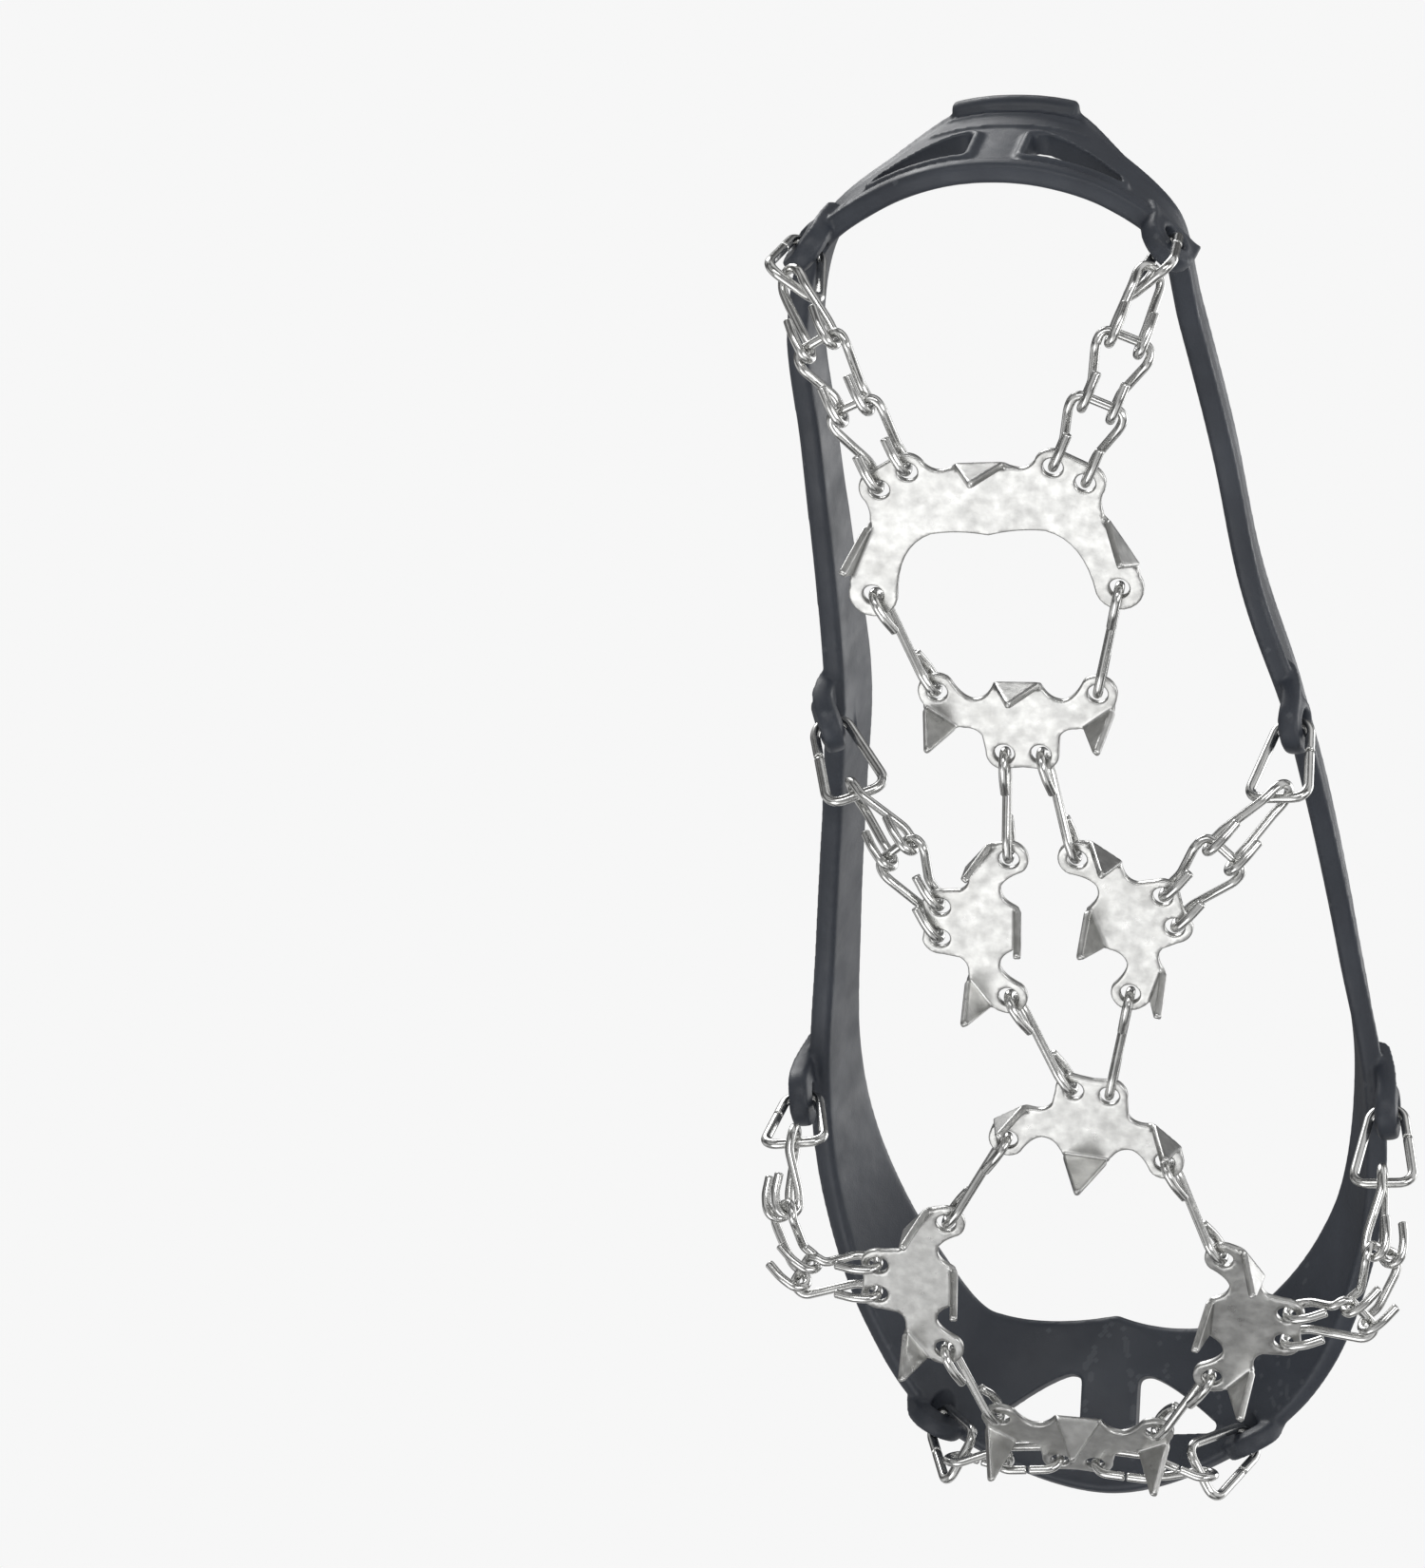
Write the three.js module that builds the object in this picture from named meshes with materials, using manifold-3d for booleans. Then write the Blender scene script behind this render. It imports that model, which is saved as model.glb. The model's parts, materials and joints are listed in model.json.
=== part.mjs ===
// Ice cleat for one shoe: a rubber harness that stretches round the shoe, and under the sole a net
// of eight spiked steel plates joined by wire links and hung from the harness by eight wire rings.
//
// Millimetres. The origin is the middle of the sole's contact plane, z = 0. +Y points to the toe,
// +X to the wearer's right and +Z up into the shoe, so the spikes point down.

import * as THREE from 'three';
import { mergeVertices } from 'three/addons/utils/BufferGeometryUtils.js';
import Module from 'manifold-3d';

const wasm = await Module();
wasm.setup();

// ---- driving dimensions -----------------------------------------------------------------------

const PLATE_THICKNESS = 1.5;
const PLATE_DEPTH = 3.6; // middle of a flat plate below the sole, leaving room for the hooks
const HOLE_RADIUS = 2.0;
const WIRE_RADIUS = 1.0;
const RING_WIRE_RADIUS = 1.1;
const WIRE_SIDES = 6;
const HOOK_RADIUS = 2.5; // centre line of a hook, round a plate's rim or another link's bar
const OVAL_RADIUS = 2.9; // centre line of an oval link's round ends

const SMALL_END = { x: 16, y: 0 }; // holes of a small plate, mirrored in x
const SMALL_PAIR = { x: 3.65, y: 13.8 };
const HEEL_INNER = { x: 14.4, y: -3 }; // holes of the heel plate, mirrored in x
const HEEL_OUTER = { x: 20.4, y: 0.7 };
const HEEL_FOOT = { x: 24.5, y: 24 };

const SPIKE_HEIGHT = 10.6;
const SPIKE_TIP = 1.3;
const SPIKE_SPLAY = 8; // degrees outwards from square to the plate

const LADDER_SHOULDER = 5.4; // half the length of a ladder link's crossbar
const LADDER_HOOK = 3.0; // half the distance between the two hooks of a ladder link
const ARCH_RADIUS = 3.3; // loose arch of a first ladder link over a ring
const HOOK_TAIL = 6.2; // how far a hook's free end runs back along its leg
const TAIL_LIFT = 1.4; // how far the free end stands off the plane of the plate or bar

const RING_FOOT = 6.0; // half width of a ring at its bar
const RING_CROWN = 3.8; // radius of its round top, and below it the radius of its lower corners
const RING_CORNER = 2.6;
const RING_RISE = 0.4; // the crown stands this far above the middle of its hole
const RING_CUT = 0.5; // the open butt joint in a ring or oval link

const HARNESS_THICKNESS = 4.6;
const HARNESS_EDGE = 1.1; // chamfer along the edges of the strap
const HARNESS_STATIONS = 72;
const HARNESS_REFERENCE = 30; // height at which the harness outline is given
const LUG_THICKNESS = 3.8;
const LUG_RADIUS = 6.2;
const BOSS_RADIUS = 5.2;
const BOSS_THICKNESS = 4.4;
const LUG_HOLE_RADIUS = 2.7;

// ---- colours ----------------------------------------------------------------------------------

const rubber = () => new THREE.MeshStandardMaterial({ color: 0x3c424c, roughness: 0.62, metalness: 0 });
const plateSteel = () => new THREE.MeshStandardMaterial({ color: 0xc9c9c6, roughness: 0.3, metalness: 1 });
const wireSteel = () => new THREE.MeshStandardMaterial({ color: 0xd4d4d2, roughness: 0.18, metalness: 1 });

// ---- small helpers ----------------------------------------------------------------------------

const vec = (x, y, z) => new THREE.Vector3(x, y, z);
const rad = THREE.MathUtils.degToRad;
const DOWN = vec(0, 0, -1);
const SIDES = [['left', -1], ['right', 1]];

// A point reached from a start by a sum of steps [direction, length, direction, length, ...].
function along(start, ...steps) {
  const point = start.clone();
  for (let i = 0; i < steps.length; i += 2) point.addScaledVector(steps[i], steps[i + 1]);
  return point;
}

// The part of a direction that is square to an axis, at unit length.
const squareTo = (direction, axis) => direction.clone().projectOnPlane(axis).normalize();

// The closed geometry as a manifold solid, for joining and cutting.
function toSolid(geometry) {
  const bare = geometry.clone();
  bare.deleteAttribute('normal');
  bare.deleteAttribute('uv');
  const merged = mergeVertices(bare, 1e-4);
  const triVerts = new Uint32Array(merged.index.array);
  const vertProperties = new Float32Array(merged.attributes.position.array);
  return new wasm.Manifold(new wasm.Mesh({ numProp: 3, vertProperties, triVerts }));
}

// The manifold solid back as a three.js geometry.
function toGeometry(solid) {
  const mesh = solid.getMesh();
  const geometry = new THREE.BufferGeometry();
  geometry.setAttribute('position', new THREE.BufferAttribute(mesh.vertProperties, 3));
  geometry.setIndex(new THREE.BufferAttribute(mesh.triVerts, 1));
  return geometry;
}

function namedMesh(name, geometry, material) {
  const mesh = new THREE.Mesh(geometry, material);
  mesh.name = name;
  return mesh;
}

// ---- bent wire --------------------------------------------------------------------------------

// A wire's centre line: straight from point to point, with a section at each point.
class WirePath extends THREE.Curve {
  constructor(points) {
    super();
    this.points = points;
  }

  getPoint(t, target = new THREE.Vector3()) {
    const place = t * (this.points.length - 1);
    const index = Math.min(Math.floor(place), this.points.length - 2);
    return target.lerpVectors(this.points[index], this.points[index + 1], place - index);
  }

  getPointAt(u, target) {
    return this.getPoint(u, target);
  }

  getTangentAt(u, target = new THREE.Vector3()) {
    const last = this.points.length - 1;
    const index = Math.round(u * last);
    const before = this.points[Math.max(index - 1, 0)];
    const here = this.points[index];
    const after = this.points[Math.min(index + 1, last)];
    const arriving = here.clone().sub(before).normalize();
    const leaving = after.clone().sub(here).normalize();
    return target.addVectors(arriving, leaving).normalize();
  }
}

function wireGeometry(points, radius) {
  const section = new THREE.Shape();
  for (let i = 0; i < WIRE_SIDES; i += 1) {
    const angle = (2 * Math.PI * (i + 0.5)) / WIRE_SIDES;
    const x = radius * Math.cos(angle);
    const y = radius * Math.sin(angle);
    if (i === 0) section.moveTo(x, y);
    else section.lineTo(x, y);
  }
  section.closePath();
  const steps = points.length - 1;
  return new THREE.ExtrudeGeometry(section, { steps, extrudePath: new WirePath(points) });
}

// Points on an arc round a centre, from one direction through another, in equal steps.
function arc(centre, from, towards, radius, startAngle, endAngle, steps) {
  const points = [];
  for (let i = 0; i <= steps; i += 1) {
    const angle = rad(startAngle + ((endAngle - startAngle) * i) / steps);
    points.push(along(centre, from, radius * Math.cos(angle), towards, radius * Math.sin(angle)));
  }
  return points;
}

// ---- spiked plates ----------------------------------------------------------------------------

// The right half of a small plate from the middle of its back edge to the middle of its front.
function traceSmallPlate(shape) {
  shape.moveTo(0, -1.9);
  shape.lineTo(4.6, -1.9);
  shape.quadraticCurveTo(6.2, 1.9, 9.2, 1.7);
  shape.quadraticCurveTo(11.4, 1.0, 13.2, -2.6);
  shape.absarc(SMALL_END.x, SMALL_END.y, 3.9, rad(-137), rad(10), false);
  shape.lineTo(19.0, 3.8);
  shape.lineTo(12.9, 8.4);
  shape.quadraticCurveTo(9.2, 7.4, 7.8, 9.8);
  shape.lineTo(7.35, 13.2);
  shape.absarc(SMALL_PAIR.x, SMALL_PAIR.y, 3.7, rad(-5), rad(78), false);
  shape.lineTo(0, 16.9);
}

// The right half of the heel plate, a crescent that opens towards the toe.
function traceHeelPlate(shape) {
  shape.moveTo(0, -4.0);
  shape.lineTo(5.0, -4.0);
  shape.quadraticCurveTo(8.4, -1.6, 10.9, -4.4);
  shape.absarc(HEEL_INNER.x, HEEL_INNER.y, 3.8, rad(-160), rad(-55), false);
  shape.absarc(HEEL_OUTER.x, HEEL_OUTER.y, 4.1, rad(-75), rad(40), false);
  shape.quadraticCurveTo(22.4, 6.4, 23.6, 8.6);
  shape.lineTo(28.9, 19.4);
  shape.absarc(HEEL_FOOT.x, HEEL_FOOT.y, 4.9, rad(-28), rad(165), false);
  shape.quadraticCurveTo(18.6, 13.4, 11.4, 11.0);
  shape.quadraticCurveTo(6.0, 10.2, 0, 11.6);
}

// A closed outline from the points of its right half and their mirror image.
function mirroredShape(trace) {
  const half = new THREE.Shape();
  trace(half);
  const right = half.getPoints(3).filter((point) => point.x > 1e-6);
  const middle = half.getPoints(3).filter((point) => point.x <= 1e-6);
  const left = right.map((point) => new THREE.Vector2(-point.x, point.y)).reverse();
  return new THREE.Shape([middle[0], ...right, middle[middle.length - 1], ...left]);
}

function punchHoles(shape, holes) {
  for (const hole of holes) {
    for (const [, side] of SIDES) {
      const path = new THREE.Path();
      path.absarc(side * hole.x, hole.y, HOLE_RADIUS, 0, 2 * Math.PI, true);
      shape.holes.push(path);
    }
  }
  return shape;
}

function flatBlank(shape) {
  const geometry = new THREE.ExtrudeGeometry(shape, {
    depth: PLATE_THICKNESS,
    bevelEnabled: false,
    curveSegments: 5,
  });
  return geometry.translate(0, 0, -PLATE_THICKNESS / 2);
}

// A pointed tab bent down from the plate's edge. The root is the middle of its bend line, and
// outwards is the direction in the plate's plane that the tab pointed in before it was bent.
function spike(root, outwards, width) {
  const top = PLATE_THICKNESS * 0.45;
  const tip = -SPIKE_HEIGHT - PLATE_THICKNESS / 2;
  const outline = new THREE.Shape([
    new THREE.Vector2(-width / 2, top),
    new THREE.Vector2(-width / 2, -PLATE_THICKNESS),
    new THREE.Vector2(-SPIKE_TIP / 2, tip),
    new THREE.Vector2(SPIKE_TIP / 2, tip),
    new THREE.Vector2(width / 2, -PLATE_THICKNESS),
    new THREE.Vector2(width / 2, top),
  ]);
  const geometry = new THREE.ExtrudeGeometry(outline, { depth: PLATE_THICKNESS, bevelEnabled: false });
  geometry.rotateX(Math.PI / 2);
  geometry.translate(0, PLATE_THICKNESS * 0.4, 0);
  geometry.rotateX(rad(SPIKE_SPLAY));
  geometry.rotateZ(Math.atan2(outwards.y, outwards.x) - Math.PI / 2);
  return geometry.translate(root.x, root.y, 0);
}

function platedSolid(shape, spikes) {
  const solids = spikes.map(([root, outwards, width]) => toSolid(spike(root, outwards, width)));
  return toGeometry(solids.reduce((plate, tab) => plate.add(tab), toSolid(flatBlank(shape))));
}

function smallPlateGeometry() {
  const shape = punchHoles(mirroredShape(traceSmallPlate), [SMALL_END, SMALL_PAIR]);
  const spikes = [[{ x: 0, y: -1.9 }, { x: 0, y: -1 }, 8.8]];
  for (const [, side] of SIDES) {
    spikes.push([{ x: side * 15.95, y: 6.1 }, { x: side * 0.6, y: 0.8 }, 7.4]);
  }
  return platedSolid(shape, spikes);
}

function heelPlateGeometry() {
  const shape = punchHoles(mirroredShape(traceHeelPlate), [HEEL_INNER, HEEL_OUTER, HEEL_FOOT]);
  const spikes = [[{ x: 0, y: -4.0 }, { x: 0, y: -1 }, 9.4]];
  for (const [, side] of SIDES) {
    spikes.push([{ x: side * 26.25, y: 14 }, { x: side * 0.9, y: -0.44 }, 11.2]);
  }
  return platedSolid(shape, spikes);
}

// Where each plate lies: the turn is about the plate's own normal and the tilt follows the toe
// spring of the sole. At no turn the pair of holes of a small plate points to the toe.
const PLATES = {
  heel_plate: { x: 0, y: -119.5, rise: 0, turn: -2, tilt: 0 },
  arch_plate: { x: 3.2, y: -72.7, rise: 0, turn: 0.5, tilt: 0 },
  ball_plate_left: { x: -3, y: -18.8, rise: 0, turn: 95, tilt: 0 },
  ball_plate_right: { x: 16.2, y: -19.4, rise: 0, turn: -105, tilt: 0 },
  centre_plate: { x: 8.5, y: 33.2, rise: 0, turn: 189, tilt: 0 },
  side_plate_left: { x: -23.2, y: 66.4, rise: 0.3, turn: 96, tilt: 4 },
  side_plate_right: { x: 32.2, y: 73.5, rise: 1.1, turn: -80.5, tilt: 8 },
  toe_plate: { x: -0.5, y: 105.8, rise: 9.8, turn: 7.5, tilt: 23.5 },
};

function plateMatrix({ x, y, rise, turn, tilt }) {
  const turned = new THREE.Matrix4().makeRotationZ(rad(turn));
  const tilted = new THREE.Matrix4().makeRotationX(rad(tilt));
  const moved = new THREE.Matrix4().makeTranslation(x, y, rise - PLATE_DEPTH);
  return moved.multiply(tilted).multiply(turned);
}

// The middle of a hole in a placed plate, and the plate's normal on its spiked side.
function holeOf(plate, hole, side) {
  const point = vec(side * hole.x, hole.y, 0).applyMatrix4(plateMatrix(PLATES[plate]));
  const normal = DOWN.clone().transformDirection(plateMatrix(PLATES[plate]));
  return { point, normal };
}

function plateMeshes() {
  return Object.entries(PLATES).map(([name, place]) => {
    const geometry = name === 'heel_plate' ? heelPlateGeometry() : smallPlateGeometry();
    const mesh = namedMesh(name, geometry, plateSteel());
    mesh.applyMatrix4(plateMatrix(place));
    return mesh;
  });
}

// ---- S links between the plates ---------------------------------------------------------------

// One wire with a hook at each end: it leaves the first hole on the shoe's side and reaches the
// second on the ground side, and each free end lies back along the shank.
function sLinkPoints(first, second) {
  const chord = second.point.clone().sub(first.point).normalize();
  const hook = (hole, inwards, ground) => {
    const middle = along(hole.point, inwards, HOOK_RADIUS);
    const outwards = inwards.clone().negate();
    return [
      along(middle, inwards, HOOK_TAIL, ground, TAIL_LIFT),
      along(middle, inwards, HOOK_RADIUS, ground, HOOK_RADIUS),
      ...arc(middle, ground, outwards, HOOK_RADIUS, 0, 180, 4),
      along(middle, inwards, HOOK_RADIUS, ground, -HOOK_RADIUS),
    ];
  };
  const near = hook(first, squareTo(chord, first.normal), first.normal);
  const farInwards = squareTo(chord, second.normal).negate();
  const far = hook(second, farInwards, second.normal.clone().negate());
  return [...near, ...far.reverse()];
}

// Each link by the two plates that it joins and the hole it takes in each.
const S_LINKS = [
  ['heel_link_left', 'heel_plate', HEEL_FOOT, -1, 'arch_plate', SMALL_END, -1],
  ['heel_link_right', 'heel_plate', HEEL_FOOT, 1, 'arch_plate', SMALL_END, 1],
  ['arch_link_left', 'arch_plate', SMALL_PAIR, -1, 'ball_plate_left', SMALL_END, -1],
  ['arch_link_right', 'arch_plate', SMALL_PAIR, 1, 'ball_plate_right', SMALL_END, 1],
  ['ball_link_left', 'ball_plate_left', SMALL_END, 1, 'centre_plate', SMALL_PAIR, 1],
  ['ball_link_right', 'ball_plate_right', SMALL_END, -1, 'centre_plate', SMALL_PAIR, -1],
  ['centre_link_left', 'centre_plate', SMALL_END, 1, 'side_plate_left', SMALL_END, -1],
  ['centre_link_right', 'centre_plate', SMALL_END, -1, 'side_plate_right', SMALL_END, 1],
  ['side_link_left', 'side_plate_left', SMALL_END, 1, 'toe_plate', SMALL_END, -1],
  ['side_link_right', 'side_plate_right', SMALL_END, -1, 'toe_plate', SMALL_END, 1],
];

function sLinkMeshes() {
  return S_LINKS.map(([name, plateA, holeA, sideA, plateB, holeB, sideB]) => {
    const points = sLinkPoints(holeOf(plateA, holeA, sideA), holeOf(plateB, holeB, sideB));
    return namedMesh(name, wireGeometry(points, WIRE_RADIUS), wireSteel());
  });
}

// ---- hangers: ring, ladder chain, plate -------------------------------------------------------

// The eight hangers. The lug is the middle of the hole in the harness and bar the middle of the
// ring's bar; bars are the middles of the ladder crossbars from the ring to the plate, each with
// the direction that faces away from the shoe there.
const HANGERS = {
  heel_left: {
    lug: vec(-37, -154, 29.6), outwards: vec(-0.78, -0.63, 0), bar: vec(-36.6, -155.4, 10.4),
    bars: [[vec(-30.8, -148.2, 0.6), vec(-0.3, -0.5, -0.8)], [vec(-24.7, -135.6, -2.4), DOWN]],
    plate: 'heel_plate', holes: [[HEEL_INNER, -1], [HEEL_OUTER, -1]],
  },
  heel_right: {
    lug: vec(34.2, -154.3, 29.6), outwards: vec(0.78, -0.63, 0), bar: vec(33.4, -155.8, 10.4),
    bars: [[vec(30.4, -148.9, 0.6), vec(0.3, -0.5, -0.8)], [vec(24.5, -136.3, -2.4), DOWN]],
    plate: 'heel_plate', holes: [[HEEL_OUTER, 1], [HEEL_INNER, 1]],
  },
  arch_left: {
    lug: vec(-42, -48.5, 26), outwards: vec(-1, 0.02, 0), bar: vec(-33.8, -41.4, 9.4),
    bars: [[vec(-25, -35, -0.8), vec(-0.2, -0.2, -0.95)]],
    plate: 'ball_plate_left', holes: [[SMALL_PAIR, -1], [SMALL_PAIR, 1]],
  },
  arch_right: {
    lug: vec(52.6, -49, 26), outwards: vec(0.99, -0.14, 0), bar: vec(51, -42.4, 7.8),
    bars: [[vec(41.5, -35, -1), vec(0.2, -0.2, -0.95)]],
    plate: 'ball_plate_right', holes: [[SMALL_PAIR, -1], [SMALL_PAIR, 1]],
  },
  fore_left: {
    lug: vec(-57, 44, 32.5), outwards: vec(-1, 0.05, 0), bar: vec(-55.5, 43.2, 13.1),
    bars: [[vec(-56.8, 52, 3.4), vec(-0.8, 0, -0.6)], [vec(-53, 63.8, -2.4), vec(-0.35, 0, -0.94)]],
    plate: 'side_plate_left', holes: [[SMALL_PAIR, -1], [SMALL_PAIR, 1]],
  },
  fore_right: {
    lug: vec(63.8, 47, 35.2), outwards: vec(1, 0.02, 0), bar: vec(64.8, 53, 16.8),
    bars: [[vec(65.8, 61.8, 5.8), vec(0.8, 0, -0.6)], [vec(61.8, 72.4, -1.6), vec(0.35, 0, -0.94)]],
    plate: 'side_plate_right', holes: [[SMALL_PAIR, 1], [SMALL_PAIR, -1]],
  },
};

// The two toe hangers have oval links in place of ladder links, and each takes one hole.
const TOE_HANGERS = {
  toe_left: {
    lug: vec(-34.5, 119.5, 27.5), outwards: vec(-0.6, 0.8, 0), bar: vec(-26.6, 118, 10.2), side: -1,
  },
  toe_right: {
    lug: vec(31.5, 123, 27.5), outwards: vec(0.56, 0.83, 0), bar: vec(23.4, 120.4, 10.2), side: 1,
  },
};

// A triangular ring with rounded corners. Its crown passes through the lug and its bar carries
// the chain; the ends of the wire meet in one of its arms.
function ringPoints({ lug, outwards, bar }) {
  const up = lug.clone().sub(bar).normalize();
  const across = squareTo(outwards, up);
  const inwards = across.clone().negate();
  const height = lug.distanceTo(bar);
  const crown = along(lug, up, RING_RISE - RING_CROWN);
  const corner = (side) => along(bar, side, RING_FOOT - RING_CORNER, up, RING_CORNER);
  const shoulder = along(crown, across, RING_CROWN);
  const foot = along(bar, across, RING_FOOT, up, RING_CORNER);
  const cut = shoulder.clone().lerp(foot, 0.3);
  const gap = RING_CUT / height;
  return [
    cut,
    ...arc(crown, across, up, RING_CROWN, 0, 180, 4),
    ...arc(corner(inwards), inwards, up, RING_CORNER, 0, -90, 2),
    ...arc(corner(across), across, up, RING_CORNER, -90, 0, 2),
    cut.clone().lerp(foot, gap * 2),
  ];
}

// One hook with its free end, from the leg round the middle of what it holds. The direction runs
// from the leg to the hook's bend, and the free end lies on the outer side.
function hookPoints(middle, direction, outer) {
  const inner = outer.clone().negate();
  return [
    along(middle, direction, -HOOK_RADIUS, inner, HOOK_RADIUS),
    ...arc(middle, inner, direction, HOOK_RADIUS, 0, 180, 4),
    along(middle, direction, -HOOK_RADIUS, outer, HOOK_RADIUS),
    along(middle, direction, -HOOK_TAIL, outer, TAIL_LIFT),
  ];
}

// The two hooks of a ladder link, each as its points from the leg to the free end.
const bothHooks = (end) => end.middles.map((middle) => hookPoints(middle, end.run, end.outer));

// A ladder link: a crossbar, two shoulders and two legs that close in to the hooks.
function ladderPoints(start, end) {
  const [leftHook, rightHook] = bothHooks(end);
  const leg = (side) => [
    along(start.centre, start.across, side * LADDER_SHOULDER, start.run, 3.4),
    along(start.centre, start.across, side * LADDER_SHOULDER, start.run, 1.2),
    along(start.centre, start.across, side * (LADDER_SHOULDER - 1.2)),
  ];
  return [...leftHook.reverse(), ...leg(-1), ...leg(1).reverse(), ...rightHook];
}

// The first link of a strand: an arch over the ring's bar in place of the crossbar.
function archPoints(start, end) {
  const direction = end.centre.clone().sub(start.centre).normalize();
  const [leftHook, rightHook] = bothHooks(end);
  const spread = end.middles[1].clone().sub(end.middles[0]);
  const straddle = direction.clone().cross(start.barDirection).normalize();
  if (straddle.dot(spread) < 0) straddle.negate();
  const away = direction.clone().negate();
  const leftSide = straddle.clone().negate();
  const lower = (side) => along(start.centre, side, ARCH_RADIUS, direction, 2.4);
  return [
    ...leftHook.reverse(),
    lower(leftSide),
    ...arc(start.centre, leftSide, away, ARCH_RADIUS, 0, 180, 4),
    lower(straddle),
    ...rightHook,
  ];
}

// What a strand meets from the ring to the plate: the bar, the crossbars and the plate's holes.
function strandStops(hanger) {
  const holes = hanger.holes.map(([hole, side]) => holeOf(hanger.plate, hole, side));
  const holeMiddle = holes[0].point.clone().add(holes[1].point).multiplyScalar(0.5);
  const middles = [hanger.bar, ...hanger.bars.map(([point]) => point), holeMiddle];
  const up = hanger.lug.clone().sub(hanger.bar).normalize();
  const stops = [{ centre: hanger.bar, barDirection: squareTo(hanger.outwards, up) }];
  hanger.bars.forEach(([point, facing], index) => {
    const run = middles[index + 2].clone().sub(middles[index]).normalize();
    const outer = squareTo(facing, run);
    const across = outer.clone().cross(run).normalize();
    const middlesOfHooks = [-1, 1].map((side) => along(point, across, side * LADDER_HOOK));
    stops.push({ centre: point, across, outer, run, middles: middlesOfHooks });
  });
  const last = middles[middles.length - 2];
  const run = squareTo(holeMiddle.clone().sub(last), holes[0].normal);
  const hooked = holes.map(({ point }) => along(point, run, -HOOK_RADIUS));
  stops.push({ centre: holeMiddle, outer: holes[0].normal, run, middles: hooked });
  return stops;
}

// Hooks and holes are paired so that the two legs of the last link don't cross.
function uncrossed(stops) {
  const last = stops[stops.length - 1];
  const before = stops[stops.length - 2];
  const spread = last.middles[1].clone().sub(last.middles[0]);
  if (before.across.dot(spread) < 0) last.middles.reverse();
  return stops;
}

function hangerMeshes() {
  const meshes = [];
  for (const [name, hanger] of Object.entries(HANGERS)) {
    const [end, side] = name.split('_');
    const ring = wireGeometry(ringPoints(hanger), RING_WIRE_RADIUS);
    meshes.push(namedMesh(`${end}_ring_${side}`, ring, wireSteel()));
    const stops = uncrossed(strandStops(hanger));
    for (let i = 1; i < stops.length; i += 1) {
      const points = i === 1 ? archPoints(stops[0], stops[1]) : ladderPoints(stops[i - 1], stops[i]);
      const label = `${end}_chain_${side}_${i}`;
      meshes.push(namedMesh(label, wireGeometry(points, WIRE_RADIUS), wireSteel()));
    }
  }
  return meshes;
}

// A loop of wire with a round end at each of two centres. Each end may lie in a plane of its own,
// and the ends of the wire meet half way along one side.
function loopPoints(first, firstSide, second, secondSide) {
  const run = second.clone().sub(first).normalize();
  const back = run.clone().negate();
  const sideA = squareTo(firstSide, run);
  const sideB = squareTo(secondSide, run);
  const nearEnd = along(first, sideA, OVAL_RADIUS);
  const farEnd = along(second, sideB, OVAL_RADIUS);
  const halfCut = (0.5 * RING_CUT) / first.distanceTo(second);
  return [
    nearEnd.clone().lerp(farEnd, 0.5 - halfCut),
    ...arc(first, sideA, back, OVAL_RADIUS, 0, 180, 4),
    ...arc(second, sideB, run, OVAL_RADIUS, 180, 0, 4),
    nearEnd.clone().lerp(farEnd, 0.5 + halfCut),
  ];
}

function toeHangerMeshes() {
  const meshes = [];
  for (const [name, hanger] of Object.entries(TOE_HANGERS)) {
    const [end, side] = name.split('_');
    const hole = holeOf('toe_plate', SMALL_PAIR, hanger.side);
    const run = hanger.bar.clone().sub(hole.point).normalize();
    const reach = (hanger.bar.distanceTo(hole.point) - 2 * OVAL_RADIUS) / 2;
    const stepTo = (distance) => along(hole.point, run, distance);
    const level = squareTo(hole.normal.clone().cross(run), run);
    const ringUp = hanger.lug.clone().sub(hanger.bar).normalize();
    const farSide = squareTo(squareTo(hanger.outwards, ringUp), run).cross(run);
    const innerEnds = [stepTo(OVAL_RADIUS), stepTo(OVAL_RADIUS + reach)];
    const inner = loopPoints(innerEnds[0], hole.normal, innerEnds[1], hole.normal);
    const outer = loopPoints(stepTo(2 * OVAL_RADIUS + reach), level, hanger.bar, farSide);
    const ring = wireGeometry(ringPoints(hanger), RING_WIRE_RADIUS);
    meshes.push(namedMesh(`${end}_ring_${side}`, ring, wireSteel()));
    meshes.push(namedMesh(`${end}_oval_${side}_1`, wireGeometry(outer, WIRE_RADIUS), wireSteel()));
    meshes.push(namedMesh(`${end}_oval_${side}_2`, wireGeometry(inner, WIRE_RADIUS), wireSteel()));
  }
  return meshes;
}

// ---- rubber harness ---------------------------------------------------------------------------

// Stations round the shoe, anticlockwise from the back of the heel: x and y of the outer face at
// the reference height, heights of the lower and upper edges, and inward lean in degrees.
const HARNESS = [
  [0, -171, 32, 66.5, 6],
  [12, -169.6, 32, 66, 6],
  [25, -164.5, 32, 52.5, 7],
  [36, -155.5, 31, 46, 8],
  [39.5, -134, 34, 46.5, 7],
  [43.8, -105, 35.5, 48, 7],
  [47.6, -74, 34.5, 48.5, 8],
  [54.4, -49, 30, 47.5, 12],
  [58, -20, 39, 54, 10],
  [62, 15, 43, 58, 11],
  [65.8, 47, 40, 57, 15],
  [62, 84, 37, 55, 22],
  [50, 108, 31, 52, 30],
  [33.2, 125, 29.5, 51, 38],
  [0, 136, 28, 54, 46],
  [-36, 121.5, 29.5, 51, 38],
  [-50, 98, 31, 52, 30],
  [-58, 72, 35, 54, 22],
  [-58.9, 44, 37.5, 54.5, 15],
  [-56, 14, 40, 55, 14],
  [-50, -20, 37, 52, 13],
  [-44, -48.5, 30, 46.5, 12],
  [-45, -78, 34.5, 47.5, 11],
  [-45.5, -106, 35.5, 47, 10],
  [-45, -134, 34, 46.5, 9],
  [-37.6, -155, 31, 46, 8],
  [-25, -164.5, 32, 52.5, 7],
  [-12, -169.6, 32, 66, 6],
];

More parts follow.
